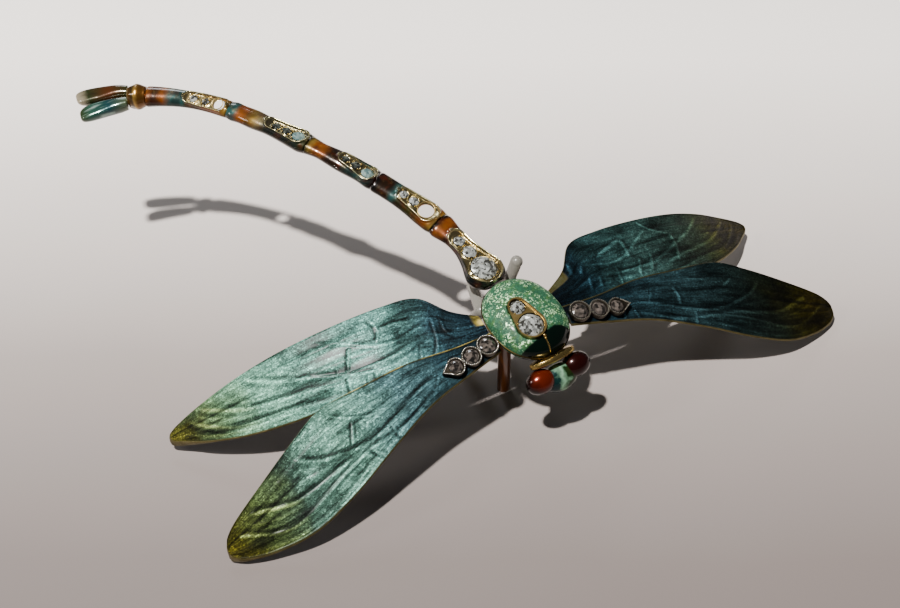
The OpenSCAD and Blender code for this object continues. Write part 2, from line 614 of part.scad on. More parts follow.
// columns: share along a clasper, offset to its side and half width as shares of its width, half height
clasper_table = [[0, 0.38, 0.35, 0.34], [0.15, 0.44, 0.41, 0.38], [0.45, 0.49, 0.47, 0.40], [0.75, 0.55, 0.50, 0.36],
  [0.9, 0.60, 0.44, 0.28], [0.97, 0.64, 0.32, 0.18], [1, 0.66, 0.14, 0.08]];
function clasper_ring(q, m, n) =
  let (f = way_frame(abdomen_length + fit_gap + q[0] * clasper_length), w = clasper_width)
  [for (j = [0:n - 1]) let (a = -360 * j / n)
    f[3] + f[0] * (m * (q[1] * w + fit_gap / 2) + q[2] * w * cos(a)) + f[2] * q[3] * w * sin(a)];
function centre_of(ring) = [for (c = [0:2]) [for (p = ring) p[c]] * [for (p = ring) 1] / len(ring)];
function clasper_rings(m) = [for (k = [0:14])
  let (t = 1 - pow(1 - k / 14, 1.4)) clasper_ring([for (c = [0:3]) c == 0 ? t : read_at(clasper_table, c, t)], m, 12)];
module clasper(m) {
  rings = clasper_rings(m);
  skin(rings, centre_of(rings[0]), centre_of(rings[14]));
}
module clasper_outer() {
  color(amber) clasper(1);
}
module clasper_inner() {
  color(sea) clasper(-1);
}

// PINS
// A bent sleeved rod: an upright foot on the surface, then straight lengths that meet in round elbows
module rod(points, d) {
  translate(points[0]) cylinder(d = d, h = 1, $fn = 32);
  tops = concat([points[0] + [0, 0, 1]], [for (k = [1:len(points) - 1]) points[k]]);
  for (i = [0:len(tops) - 2]) {
    v = tops[i + 1] - tops[i];
    translate(tops[i]) sphere(d = d * 1.05, $fn = 32);
    translate(tops[i]) rotate([0, acos(v[2] / norm(v)), atan2(v[1], v[0])]) cylinder(d = d, h = norm(v), $fn = 32);
  }
  translate(tops[len(tops) - 1]) sphere(d = d * 1.05, $fn = 32);
}
// The needle runs across under the hind wings, on a lug at one end and a catch at the other
lug_share = 0.17;
lug_across = 0.66;
lug_d = 1.3;
lug_at = wing_point(hind_table, hind_wing_depth, lug_share, lug_across);
lug_x = needle_reach / 2;
lug_top = lug_at[2] - wing_thick / 2 - fit_gap - 0.4;
needle_z = lug_top + 0.4 - cloth_gap - needle_d / 2;
module brooch_pin() {
  color(gold) translate([0, lug_at[1], needle_z]) {
    translate([-lug_x - 1.5, 0, 0]) rotate([0, 90, 0]) cylinder(d = needle_d, h = needle_reach + 3, $fn = 32);
    translate([lug_x + 1.5, 0, 0]) rotate([0, 90, 0]) cylinder(d1 = needle_d, d2 = 0.15, h = 1.6, $fn = 32);
    for (m = [-1, 1]) translate([m * lug_x, 0, -0.2]) cylinder(d = lug_d, h = lug_top - needle_z + 0.2, $fn = 32);
    translate([-lug_x, 0, 0]) rotate([0, 90, 0]) cylinder(d = lug_d + 0.5, h = lug_d, center = true, $fn = 32);
    translate([lug_x, 0, 0]) rotate([0, 90, 0]) cylinder(d = lug_d + 0.5, h = lug_d, center = true, $fn = 32);
  }
}
// The post stands under the thorax, a little to its left
post_x = -0.205 * thorax_width;
post_y = 0.13 * thorax_length;
post_top = thorax_z - thorax_belly * 0.9 - fit_gap;
module display_post() {
  color([0.5, 0.28, 0.12]) translate([post_x, post_y, 0]) {
    cylinder(d = post_d, h = post_top - post_d / 2, $fn = 40);
    translate([0, 0, post_top - post_d / 2]) sphere(d = post_d, $fn = 40);
  }
}
// The clear pins stand behind the thorax and hold the abdomen's root from both sides
pin_x = body_x - (rear_y + 2) * sin(body_turn);
module display_pin_left() {
  color(clear) rod([
    [pin_x - abdomen_width / 2, rear_y + thorax_length * 0.462, 0],
    [pin_x - abdomen_width * 0.4, rear_y - sleeve_d / 2, rear_z - thorax_belly * 0.885],
    [pin_x - abdomen_width * 0.18, rear_y + thorax_length * 0.3, rear_z - thorax_belly * 0.81]], sleeve_d);
}
module display_pin_right() {
  color(clear) rod([
    [pin_x + abdomen_width * 0.54, rear_y + thorax_length * 0.462, 0],
    [pin_x + abdomen_width * 0.64, rear_y + thorax_length * 0.17, rear_z - thorax_belly / 2],
    [pin_x + abdomen_width * 0.65 + sleeve_d / 2, rear_y + thorax_length * 0.165, rear_z + thorax_belly * 0.29]], sleeve_d);
}

// ALL
// The whole part is moved along Y so that its box is centred on the origin
reach_front = min([for (k = [0:80]) wing_point(fore_table, fore_wing_depth, k / 80, 0)[1]]);
reach_rear = max([for (m = [-1, 1]) for (ring = clasper_rings(m)) for (p = ring) p[1]]);
shift_y = -(reach_front + reach_rear) / 2;
translate([0, shift_y, 0]) thorax();
translate([0, shift_y, 0]) thorax_cartouche();
translate([0, shift_y, 0]) thorax_stone_small();
translate([0, shift_y, 0]) thorax_stone_large();
translate([0, shift_y, 0]) head_collar();
translate([0, shift_y, 0]) eye_left();
translate([0, shift_y, 0]) eye_right();
translate([0, shift_y, 0]) face();
translate([0, shift_y, 0]) fore_wing_left();
translate([0, shift_y, 0]) fore_wing_right();
translate([0, shift_y, 0]) hind_wing_left();
translate([0, shift_y, 0]) hind_wing_right();
translate([0, shift_y, 0]) bezel_row_left();
translate([0, shift_y, 0]) bezel_row_right();
translate([0, shift_y, 0]) wing_stone_left_1();
translate([0, shift_y, 0]) wing_stone_left_2();
translate([0, shift_y, 0]) wing_stone_left_3();
translate([0, shift_y, 0]) wing_stone_right_1();
translate([0, shift_y, 0]) wing_stone_right_2();
translate([0, shift_y, 0]) wing_stone_right_3();
translate([0, shift_y, 0]) abdomen_1();
translate([0, shift_y, 0]) abdomen_2();
translate([0, shift_y, 0]) abdomen_3();
translate([0, shift_y, 0]) abdomen_4();
translate([0, shift_y, 0]) abdomen_5();
translate([0, shift_y, 0]) stone_1_large();
translate([0, shift_y, 0]) stone_1_middle();
translate([0, shift_y, 0]) stone_1_small();
translate([0, shift_y, 0]) stone_2_middle();
translate([0, shift_y, 0]) stone_2_small();
translate([0, shift_y, 0]) stone_3_large();
translate([0, shift_y, 0]) stone_3_middle();
translate([0, shift_y, 0]) stone_3_small();
translate([0, shift_y, 0]) stone_4_large();
translate([0, shift_y, 0]) stone_4_middle();
translate([0, shift_y, 0]) stone_4_small();
translate([0, shift_y, 0]) stone_5_middle();
translate([0, shift_y, 0]) stone_5_small();
translate([0, shift_y, 0]) tail_ring();
translate([0, shift_y, 0]) clasper_outer();
translate([0, shift_y, 0]) clasper_inner();
translate([0, shift_y, 0]) brooch_pin();
translate([0, shift_y, 0]) display_post();
translate([0, shift_y, 0]) display_pin_left();
translate([0, shift_y, 0]) display_pin_right();
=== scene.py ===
"""An enamelled gold dragonfly brooch set with diamonds, held on three display pins over a pale surface."""

import bmesh
import bpy
import numpy as np
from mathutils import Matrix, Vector


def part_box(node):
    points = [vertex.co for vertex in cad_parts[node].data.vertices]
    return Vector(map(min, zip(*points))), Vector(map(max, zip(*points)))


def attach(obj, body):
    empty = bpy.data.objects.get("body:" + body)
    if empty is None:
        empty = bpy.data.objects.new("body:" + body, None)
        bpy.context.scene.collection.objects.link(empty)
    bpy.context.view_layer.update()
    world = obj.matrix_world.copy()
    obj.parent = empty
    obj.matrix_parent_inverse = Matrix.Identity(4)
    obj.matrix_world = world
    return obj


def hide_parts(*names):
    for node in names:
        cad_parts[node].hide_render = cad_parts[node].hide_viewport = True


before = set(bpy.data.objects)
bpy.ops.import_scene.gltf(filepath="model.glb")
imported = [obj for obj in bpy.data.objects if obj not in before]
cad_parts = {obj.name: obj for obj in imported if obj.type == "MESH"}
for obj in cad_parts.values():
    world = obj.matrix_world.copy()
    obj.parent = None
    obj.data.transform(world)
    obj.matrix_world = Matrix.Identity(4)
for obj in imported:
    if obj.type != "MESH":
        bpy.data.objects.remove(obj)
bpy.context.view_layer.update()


# SURFACE, LIGHT AND CAMERA
# A pale matt card lies flat under the brooch. A small lamp high on the left throws the dark shadows, and
# wide soft lamps fill them.
class Value:
    """A number, colour or vector in a finish: arithmetic on it adds the Math nodes that it needs."""

    def __init__(self, paint, socket):
        self.paint, self.socket = paint, socket

    def math(self, operation, a, b):
        return self.paint.node("Math", {"operation": operation}, {0: a, 1: b})

    def __add__(self, other):
        return self.math("ADD", self, other)

    def __sub__(self, other):
        return self.math("SUBTRACT", self, other)

    def __rsub__(self, other):
        return self.math("SUBTRACT", other, self)

    def __mul__(self, other):
        return self.math("MULTIPLY", self, other)

    __radd__, __rmul__ = __add__, __mul__

    def most(self, other):
        """The larger of two numbers."""
        return self.math("MAXIMUM", self, other)


class Paint:
    """A finish made of nodes. node() adds any node from its kind, its settings and what its sockets get.

    Colours are given as red, green and blue in thousandths."""

    def __init__(self, name, **fixed):
        self.material = bpy.data.materials.new(name)
        self.material.use_nodes = True
        self.tree = self.material.node_tree
        self.shader = self.tree.nodes["Principled BSDF"]
        self.set(**fixed)

    def node(self, kind, settings=None, inputs=None, out=0):
        made = self.tree.nodes.new("ShaderNode" + kind)
        for key, setting in (settings or {}).items():
            setattr(made, key, setting)
        for key, value in (inputs or {}).items():
            self.plug(made.inputs[key], value)
        return Value(self, made.outputs[out])

    @staticmethod
    def full(colour):
        """Blender's own form of a colour that is given in thousandths."""
        return (*(part / 1000 for part in colour), 1)

    def plug(self, socket, value):
        if isinstance(value, Value):
            self.tree.links.new(value.socket, socket)
        elif isinstance(value, tuple) and socket.type == "RGBA":
            socket.default_value = self.full(value)
        else:
            socket.default_value = value

    def set(self, **sockets):
        for key, value in sockets.items():
            self.plug(self.shader.inputs[key.replace("_", " ")], value)

    def mark(self, name):
        """An attribute that the piece's mesh carries, as a number."""
        return self.node("Attribute", {"attribute_name": name}, out=2)

    def mix(self, share, a, b):
        """Colour a where share is 0, colour b where it is 1."""
        return self.node("Mix", {"data_type": "RGBA"}, {0: share, 6: a, 7: b}, out=2)

    def scaled(self, colour, share):
        """A colour times a number."""
        return self.node("VectorMath", {"operation": "SCALE"}, {0: colour, 3: share})

    def ramp(self, value, *stops):
        """Colours that follow a number. The stops are a place in percent and its colour, in turn."""
        made = self.node("ValToRGB", {}, {0: value})
        elements = made.socket.node.color_ramp.elements
        while len(elements) < len(stops) // 2:
            elements.new(0.5)
        for element, place, colour in zip(elements, stops[::2], stops[1::2]):
            element.position, element.color = place / 100, self.full(colour)
        return made

    def step(self, value, low, high, to_low=0.0, to_high=1.0):
        """A number that goes from to_low to to_high as value goes from low to high, and stays within both."""
        return self.node("MapRange", {"clamp": True}, {0: value, 1: low, 2: high, 3: to_low, 4: to_high})

    def point(self, x, y, z=0.0):
        return self.node("CombineXYZ", {}, {0: x, 1: y, 2: z})

    def place(self):
        """Object coordinates."""
        return self.node("TexCoord", out=3)

    def noise(self, scale, detail=2.0, rough=0.5, at=None):
        return self.node("TexNoise", {}, {"Vector": at or self.place(), "Scale": scale, "Detail": detail,
                                          "Roughness": rough})

    def cells(self, scale, out=0):
        """A pattern of cells: the distance to the middle of each, or with out=1 its own colour."""
        return self.node("TexVoronoi", {}, {"Vector": self.place(), "Scale": scale}, out=out)

    def flakes(self, scale):
        """A number of its own for each cell of a pattern."""
        return self.node("SeparateColor", {}, {0: self.cells(scale, out=1)})

    def bump(self, height, distance, strength):
        return self.node("Bump", {}, {"Strength": strength, "Distance": distance, "Height": height})


def dress(piece, paint):
    """Gives a piece its finish, in place of any that it has."""
    piece.data.materials.clear()
    piece.data.materials.append(paint.material)


def lamp(name, kind, spot, watts, size, colour=(1, 1, 1), aim=(0, 0, 0.005)):
    """A lamp at a spot, turned to what it is aimed at."""
    data = bpy.data.lights.new(name, kind)
    data.energy, data.color = watts, colour
    setattr(data, "size" if kind == "AREA" else "shadow_soft_size", size)
    made = bpy.data.objects.new(name, data)
    made.location = spot
    made.rotation_euler = (Vector(aim) - Vector(spot)).to_track_quat("-Z", "Y").to_euler()
    bpy.context.scene.collection.objects.link(made)


MM = 0.001
thorax_length = 10.6
# The post stands a little behind the middle of the thorax
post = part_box("display_post")
shift_y = (post[0].y + post[1].y) / 2 / MM - 0.13 * thorax_length
lamp("key_lamp", "POINT", (-0.226, (shift_y - 42) * MM, 0.613), 48, 0.015, (1.0, 0.97, 0.94))
lamp("far_softbox", "AREA", (0.1, 0.55, 0.4), 0.7, 0.16, (0.93, 0.97, 1.0), (0, 0.05, 0))
lamp("left_softbox", "AREA", (-0.5, 0.12, 0.35), 0.8, 0.12, (1.0, 0.99, 0.97))

world = bpy.data.worlds.new("studio")
world.use_nodes = True
world.node_tree.nodes["Background"].inputs["Color"].default_value = (0.8, 0.8, 0.84, 1)
world.node_tree.nodes["Background"].inputs["Strength"].default_value = 0.11
bpy.context.scene.world = world

lens = bpy.data.cameras.new("camera")
lens.lens, lens.sensor_width, lens.clip_start = 60, 36, 0.004
camera = bpy.data.objects.new("camera", lens)
camera.location = (-0.0656, (shift_y - 104.21) * MM, 0.12395)
camera.rotation_euler = Vector((0.3518, 0.6549, -0.6689)).to_track_quat("-Z", "Y").to_euler()
bpy.context.scene.collection.objects.link(camera)
bpy.context.scene.camera = camera

card = Paint("card", Roughness=0.62)
# Painted shade: the card darkens towards its near edge, following its depth in the picture, which runs along
# (0.473, 0.881) from its near edge
x, y = (card.node("SeparateXYZ", {}, {0: card.place()}, out=axis) for axis in (0, 1))
depth = (x * 0.473 + y * 0.881 + 0.06) * (1 / 0.12)
shade = card.ramp(depth + (card.noise(18, 3, 0.5) - 0.5) * 0.06, 0, (112, 92, 85), 14, (142, 118, 109),
                  27, (205, 176, 164), 40, (280, 243, 225), 65, (580, 528, 495), 93, (930, 872, 818),
                  100, (950, 900, 845))
card.set(Base_Color=shade, Normal=card.bump(card.noise(2500, 3, 0.6), 0.00005, 0.15))
sheet = bpy.data.meshes.new("card")
sheet.from_pydata([(-1.5, -1.5, 0), (1.5, -1.5, 0), (1.5, 1.5, 0), (-1.5, 1.5, 0)], [], [(0, 1, 2, 3)])
card_piece = bpy.data.objects.new("card", sheet)
bpy.context.scene.collection.objects.link(card_piece)
dress(card_piece, card)


# WINGS
# Four gold plates with raised ribs, engraved and covered with clear sea-green enamel over the metal.
# Each has a thin bare gold edge, and its veins are cast in low relief.
fit_gap = 0.08
thorax_width = 9.0
root_x = thorax_width / 2 - 0.05
half_span = 39.4
wing_height = 10.5
wing_thick = 0.9
wing_rim = 0.34
rib_height = 0.22
fore_depth, hind_depth = 10.0, 11.6
wing_camber = 0.35
vein_height, lip_height, gold_rib_height = 0.055, 0.05, 0.07
edge_round = 0.16
# The mesh of a wing: rings along it, and points across its top and its underside
wing_rings, top_points, low_points = 290, 118, 26

# columns, in percent: place along; front edge x, y, z; rear edge x, y, z, as in the part's own tables
fore_table = np.array([
    [0, 0, -24, 93, 0, 1, 100], [14, 12, -34.5, 88, 13, -1, 100], [30, 28, -48, 78, 29, 3, 98.5],
    [45, 45, -70, 59, 44, 2, 92], [60, 60, -89, 37, 60, -2, 85], [72, 74.5, -98.5, 16, 71.5, -17, 69],
    [84, 87.5, -94, 3.5, 84.5, -36.5, 46], [93, 96, -85.5, 0, 95, -52, 25],
    [97.5, 99.3, -77.5, 1, 98.8, -60, 14.5], [100, 100, -72.5, 3, 100, -67, 8.5]]) / 100
hind_table = np.array([
    [0, 0, 2, 95, 0, 25, 103], [12, 11, 0.5, 90, 8, 38.5, 110], [24, 21, 1, 85.5, 15.5, 64, 117],
    [38, 36, 3, 74, 27.5, 72, 114], [52, 51, 16, 58, 45, 80, 101], [65, 65, 27, 43, 62, 87.5, 82],
    [77, 77.5, 41, 30, 76, 93.5, 59], [88, 88.5, 60, 18, 88, 97.5, 34],
    [95.5, 95.5, 77.5, 10, 96, 96.5, 18], [98.5, 98.5, 85, 7.5, 98.8, 94.5, 11.5],
    [100, 99.3, 88, 8, 99.5, 91.5, 9.5]]) / 100
# The raised ribs; columns: share across at the root, at the tip, height as a share of half of rib_height
ribs = [(0.24, 0.2, 0.8), (0.5, 0.47, 0.6), (0.76, 0.75, 0.8)]

# Veins: strength in percent, half width in hundredths of a mm, then points in percent, along and across.
# All their widths are taken times vein_spread
vein_spread = 1.25
long_fore = [
    (90, 17, (20, 24), (33.5, 5), (41.3, 10), (51.5, 24), (64.5, 23), (76, 17), (87, 20)),
    (100, 17, (16, 50), (35.5, 33), (43.2, 26), (54.2, 33), (64.5, 51), (72, 76), (73, 83)),
    (100, 18, (52, 26), (63.3, 33), (71.3, 37), (77.5, 42), (87, 68), (89, 78)),
    (80, 16, (64.5, 23), (76.3, 15), (84, 23), (92, 50), (94, 66)),
    (60, 15, (40, 17), (58.5, 5), (70.8, 6), (80, 5), (90, 12)),
    (50, 14, (54, 33), (66, 44), (76, 62), (80, 82)), (50, 13, (70, 30), (80, 36), (87, 50), (91.5, 74)),
    (40, 13, (72, 24), (83, 30), (90, 44), (93.5, 62))]
long_hind = [
    (100, 17, (19.8, 37), (38.5, 30), (48.2, 30), (55.5, 40), (67.7, 62), (74, 84), (74.5, 93)),
    (80, 15, (20.8, 60), (32, 45), (39.8, 51), (46.5, 65), (56, 88)),
    (100, 18, (49.2, 19), (58.8, 30), (65.7, 33), (77.5, 40), (86, 72), (89, 95)),
    (100, 18, (52.5, 7), (61.8, 14), (70.3, 16), (81.2, 15), (90, 45), (93, 90)),
    (70, 15, (50, 9), (66, 12), (78, 8), (90, 12), (95, 40)),
    (50, 13, (60, 30), (70, 42), (79, 60), (83, 90)), (50, 13, (68, 30), (78, 30), (86, 50), (91, 82)),
    (60, 15, (10, 42), (20, 36), (30, 22), (40, 21))]
cross_fore_left = [
    (90, 13, (52.5, 67), (54, 52), (55.7, 38)), (80, 12, (59.3, 89), (52.5, 67), (44.3, 53)),
    (120, 13, (51, 26), (49, 12), (47, 2)), (100, 14, (33.3, 8), (32, 0)),
    (110, 14, (42.2, 18), (40.8, 3)), (90, 12, (42.5, 28), (41.8, 14), (41.3, 2)),
    (60, 12, (22.5, 67), (24.7, 27), (30, 2)), (50, 14, (37.5, 47), (26.8, 69)),
    (60, 11, (48.5, 55), (49.7, 42)), (50, 11, (46, 54), (47.5, 40)), (60, 12, (48.7, 28), (50.8, 22)),
    (50, 10, (52, 55), (53.5, 44))]
cross_hind_left = [
    (100, 14, (39.8, 56), (38.8, 71), (42, 92)), (80, 14, (38.8, 71), (34.8, 71), (27.8, 66)),
    (100, 13, (47.3, 63), (47.8, 47), (48.5, 31)), (90, 14, (20.3, 70), (19.3, 28), (21.7, 6)),
    (70, 13, (25.5, 31), (27.5, 2)), (120, 13, (48.5, 29), (41, 23)), (100, 12, (41, 23), (40.3, 4)),
    (110, 13, (48, 7), (48.5, 29)), (80, 12, (16.5, 70), (16.3, 48), (11.8, 34)),
    (80, 11, (43.2, 23), (42.7, 5)), (60, 11, (51.2, 47), (50.8, 29)), (50, 12, (22.5, 60), (22.5, 34)),
    (50, 12, (30, 62), (36, 48))]
cross_fore_right = [
    (120, 15, (41, 69), (41.5, 50), (40, 33)), (100, 13, (44, 27), (43, 12), (42, 0)),
    (80, 13, (54.5, 74), (47, 81)), (120, 14, (21.5, 33), (20, 2)), (120, 14, (24.5, 24), (25.3, 2)),
    (90, 13, (63, 77), (58.3, 64)), (80, 13, (33, 60), (30, 36)), (70, 12, (36, 25), (35, 3)),
    (60, 12, (56, 50), (54, 20))]
cross_hind_right = [
    (130, 17, (29.5, 61), (36, 70), (42.5, 75)), (150, 18, (42.5, 75), (42, 60), (40.5, 48)),
    (130, 15, (43.5, 42), (41, 30), (38.8, 21)), (150, 16, (48.5, 44), (47, 33), (44.3, 22)),
    (130, 17, (60.3, 67), (60, 45), (56.8, 21)), (160, 22, (16.5, 93), (15, 80), (13.8, 69)),
    (120, 15, (20.8, 63), (18, 53)), (120, 15, (20, 41), (17, 20)), (120, 15, (24.7, 35), (22.3, 18)),
    (100, 15, (52, 95), (55, 75), (60, 67)), (90, 14, (33, 40), (30, 12))]


def read_at(table, column, t):
    """A cubic through a table's rows: the slope at a row is that between its two neighbours."""
    x, y = table[:, 0], table[:, column]
    row = np.arange(len(x))
    a, b = np.maximum(row - 1, 0), np.minimum(row + 1, len(x) - 1)
    slope = (y[b] - y[a]) / (x[b] - x[a])
    i = np.clip(np.searchsorted(x, t, side="right") - 1, 0, len(x) - 2)
    h = x[i + 1] - x[i]
    s = (t - x[i]) / h
    return ((2 * s ** 3 - 3 * s * s + 1) * y[i] + (3 * s * s - 2 * s ** 3) * y[i + 1]
            + (s ** 3 - 2 * s * s + s) * h * slope[i] + (s ** 3 - s * s) * h * slope[i + 1])


def mix(a, b, t):
    return a + (b - a) * t


def unit(v):
    return v / np.linalg.norm(v, axis=-1, keepdims=True)


def smooth(x, low, high):
    """From 0 at low to 1 at high, level at both."""
    s = np.clip((x - low) / (high - low), 0, 1)
    return s * s * (3 - 2 * s)


def hump(x, middle, half):
    """1 at the middle, falling away softly on both sides."""
    return np.exp(-((x - middle) / half) ** 2)


def wing_middle(table, depth, t, v):
    """The wing's middle surface, in mm: its edges read from the table, joined straight, and cambered."""
    q = [mix(read_at(table, 1 + c, t), read_at(table, 4 + c, t), v) for c in range(3)]
    start = root_x + fit_gap
    return np.stack([start + q[0] * (half_span - start), q[1] * depth + shift_y,
                     wing_thick / 2 + np.maximum(q[2], 0) * (wing_height - wing_thick / 2)
                     + wing_camber * 4 * v * (1 - v) * (1 - t)], -1)


def shell(name, rings, start=None, end=None, marks=None):
    """A closed skin through rings of points, in mm: each ring joins the next, and the ends meet at poles.

    A pole that isn't given is its ring's middle. marks holds numbers for the points, for the finish."""
    n, m = rings.shape[:2]
    poles = [r.mean(0) if pole is None else pole for r, pole in ((rings[0], start), (rings[-1], end))]
    points = np.concatenate([rings.reshape(-1, 3), poles]) * MM
    here = np.arange(m)
    after = np.roll(here, -1)
    rows = np.arange(n - 1)[:, None] * m
    quads = np.stack([rows + here, rows + after, rows + m + after, rows + m + here], -1).reshape(-1, 4)
    first = np.stack([np.full(m, n * m), after, here], -1)
    last = np.stack([np.full(m, n * m + 1), (n - 1) * m + here, (n - 1) * m + after], -1)
    mesh = bpy.data.meshes.new(name)
    mesh.from_pydata(points.tolist(), [], quads.tolist() + first.tolist() + last.tolist())
    for label, values in (marks or {}).items():
        values = np.broadcast_to(values, (n, m))
        full = np.concatenate([values.ravel(), [values[0].mean(), values[-1].mean()]]).astype(np.float32)
        mesh.attributes.new(label, "FLOAT", "POINT").data.foreach_set("value", full)
    return finished(name, mesh)


def finished(name, mesh):
    """Turns all faces outwards, shades them smooth, and puts the mesh in the scene, riding on the part."""
    work = bmesh.new()
    work.from_mesh(mesh)
    bmesh.ops.recalc_face_normals(work, faces=work.faces)
    work.to_mesh(mesh)
    work.free()
    mesh.polygons.foreach_set("use_smooth", np.ones(len(mesh.polygons), bool))
    piece = bpy.data.objects.new(name, mesh)
    bpy.context.scene.collection.objects.link(piece)
    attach(piece, "root")
    return piece


def rounded(points):
    """A smooth line through a few points: each corner is cut three times."""
    line = np.array(points, float)
    for _ in range(3):
        a, b = line[:-1], line[1:]
        cut = np.stack([0.75 * a + 0.25 * b, 0.25 * a + 0.75 * b], 1).reshape(-1, 2)
        line = np.concatenate([line[:1], cut, line[-1:]])
    return line


def away_from(spots, line):
    """How far each spot lies from a line, seen from above, how far along it, and on which side."""
    best = np.full(spots.shape[:-1], 1e9)
    along, beyond = 0 * best, 0 * best
    for i, (a, b) in enumerate(zip(line[:-1], line[1:])):
        run = b - a
        share = np.clip(((spots - a) @ run) / max(run @ run, 1e-9), 0, 1)
        off = spots - a - share[..., None] * run
        far = np.hypot(off[..., 0], off[..., 1])
        along = np.where(far < best, (i + share) / (len(line) - 1), along)
        beyond = np.where(far < best, (off[..., 0] * 0.8 + off[..., 1] * 0.6) / np.maximum(far, 1e-6), beyond)
        best = np.minimum(best, far)
    return best, along, beyond


def wing(name, table, depth, side, veins):
    """A wing plate: ribs and veins on its top, thin round edges, and a plain underside."""
    t = 1 - (1 - np.linspace(0, 1, wing_rings)) ** 1.25
    k = np.linspace(0, 1, top_points)
    top = 1 - mix(k, (1 - np.cos(np.pi * k)) / 2, 0.55)
    low = np.linspace(0, 1, low_points)[1:-1]
    across = np.concatenate([top, low])
    t, v = np.meshgrid(t, across, indexing="ij")
    points = wing_middle(table, depth, t, v)
    front, rear = wing_middle(table, depth, t[:, :1], 0.0), wing_middle(table, depth, t[:, :1], 1.0)
    chord = np.linalg.norm(rear - front, axis=-1)
    edge = np.minimum(np.minimum(v, 1 - v) * chord, (1 - t) * (half_span - root_x) + 0.02)
    above = np.arange(len(across)) < len(top)
    vein, ridge, groove = np.zeros(t.shape), np.zeros(t.shape), np.zeros(t.shape)
    plan = points[..., :2]
    for strength, half, *path in veins:
        path = rounded(path) / 100
        far, share, beyond = away_from(plan, wing_middle(table, depth, path[:, 0], path[:, 1])[:, :2])
        half = vein_spread * half / 100
        strength = strength / 100 * smooth(share, 0, 0.22) * (1 - smooth(share, 0.72, 1.0))
        line = strength * hump(far, 0, half)
        # Painted shade: the groove beside each vein is deeper and painted darker on its side away from the
        # lamp
        lamp_far_side = 0.15 + 0.85 * smooth(beyond, -0.4, 0.4)
        beside = strength * lamp_far_side * hump(far, 1.9 * half, 1.1 * half)
        ridge = np.maximum(ridge, line) - 0.35 * beside
        vein, groove = np.maximum(vein, line), np.maximum(groove, beside)
    reach = 0.62 if table is fore_table else 0.0
    rib = (1 - smooth((1 - v) * chord, 0.12, 0.26)) * (1 - smooth(t, reach - 0.2, reach)) * above
    fade = np.clip((t - 0.2) / 0.25, 0, 1) * (1 - 0.8 * t * t)
    raised = sum(height * hump(v, mix(a, b, t), 0.045) for a, b, height in ribs) * fade
    calm = smooth(edge, 0.05, 0.5)
    relief = (vein_height * ridge + rib_height * 0.5 * raised) * calm
    turn = np.clip(1 - edge / edge_round, 0, 1)
    lip = lip_height * hump(edge, 0.14, 0.1)
    fall = edge_round * (1 - np.sqrt(1 - turn ** 2 * 0.999))
    top_z = wing_thick / 2 + relief + lip + gold_rib_height * rib - fall
    thin = (wing_thick - wing_rim) * (1 - 0.75 * smooth(t, 0.85, 1.0))
    low_z = -wing_thick / 2 + thin * hump(edge, 0, 0.8)
    points[..., 2] += np.where(above, top_z, low_z)
    points[..., 0] *= side
    rim = np.where(above, 1 - smooth(edge, 0.05, 0.14), 1.0)
    ends = [wing_middle(table, depth, np.array(e), np.array(0.5)) * (side, 1, 1) for e in (0.0, 1.0)]
    return shell(name, points, *ends, {"along": t, "across": v, "vein": vein, "groove": groove, "rim": rim,
                                       "rib": rib, "under": np.where(above, 0.0, 1.0)})


def wing_paint(name, root, middle, tip, gold_root, arc_highlight, deep, high, leaf):
    """Clear enamel over engraved metal: its colours run along the wing, broken up by painted light and shade
    over the engraving, the pleats, the foil and the veins.
    """
    paint = Paint(name, Coat_Weight=0.04, Coat_Roughness=0.2, Coat_IOR=1.45, Specular_IOR_Level=0.15)
    marks = ("along", "across", "vein", "groove", "rim", "rib", "under")
    along, across, vein, groove, rim, rib, under = (paint.mark(m) for m in marks)
    sway = paint.noise(150, 3, 0.6)
    spread = along + (sway - 0.5) * 0.2 - across * 0.05
    body = paint.ramp(spread, 0, root[0], 17, root[1], 36, middle[0], 56, middle[1], 72, middle[2],
                      81, tip[0], 90, tip[1], 100, tip[2])
    lines = paint.point(along * 15.0, across * 58.0)
    graving = paint.noise(1.5, 5, 0.75, at=lines)
    pleats = paint.noise(1.2, 3, 0.6, at=paint.point(along * 4.0, across * 11.0, 3.0))
    foil = paint.flakes(7500)
    grain = paint.noise(5200, 2, 0.6)
    # Painted light and shade: each pattern makes the enamel lighter or darker, from one share to another as
    # it goes from low to high
    light = paint.step(pleats, 0.36, 0.66, 0.22, 1.35)
    for pattern in ((graving, 0.34, 0.7, 0.58, 1.75), (paint.noise(260, 4, 0.65), 0.36, 0.6, 0.35, 1.25),
                    (foil, 0, 1, 0.5, 1.4), (foil, 0.9, 1.0, 1.0, 1.8), (groove, 0.08, 0.8, 1.0, deep),
                    (vein, 0.3, 1.0, 1.0, high)):
        light = light * paint.step(*pattern)
    # Painted highlight: pale arcs along the veins near the tip
    arcs = paint.step(vein, 0.35, 0.9) * paint.step(along, 0.72, 0.88)
    body = paint.scaled(paint.mix(arcs * 0.45, body, arc_highlight), light)
    pits = paint.step(paint.cells(1500), 0.09, 0.05) * paint.step(paint.noise(300, 1), 0.5, 0.6)
    body = paint.mix(pits * 0.85, body, (3, 4, 4))
    gilt = paint.step(along + (paint.noise(700, 2) - 0.5) * 0.03, gold_root[0], gold_root[0] - 0.015)
    gilt = gilt * paint.step(across, gold_root[1], gold_root[1] + 0.06)
    bare = rim.most(gilt * 0.9).most(under).most(rib)
    gold = paint.mix(paint.noise(900, 3), (45, 38, 14), (260, 220, 100))
    rich = paint.step(paint.noise(500, 3), 0.4, 0.62)
    gold = paint.mix(gilt.most(rib), gold, paint.mix(rich, (50, 40, 6), leaf))
    bumped = paint.bump(graving * 0.8 + grain * 0.6 + foil * 0.3, 0.00006, 0.8)
    paint.set(Base_Color=paint.mix(bare, body, gold), Metallic=paint.step(bare, 0, 1, 0.8, 1.0),
              Roughness=paint.step(foil, 0.1, 0.9, 0.6, 0.46), Normal=bumped)
    return paint
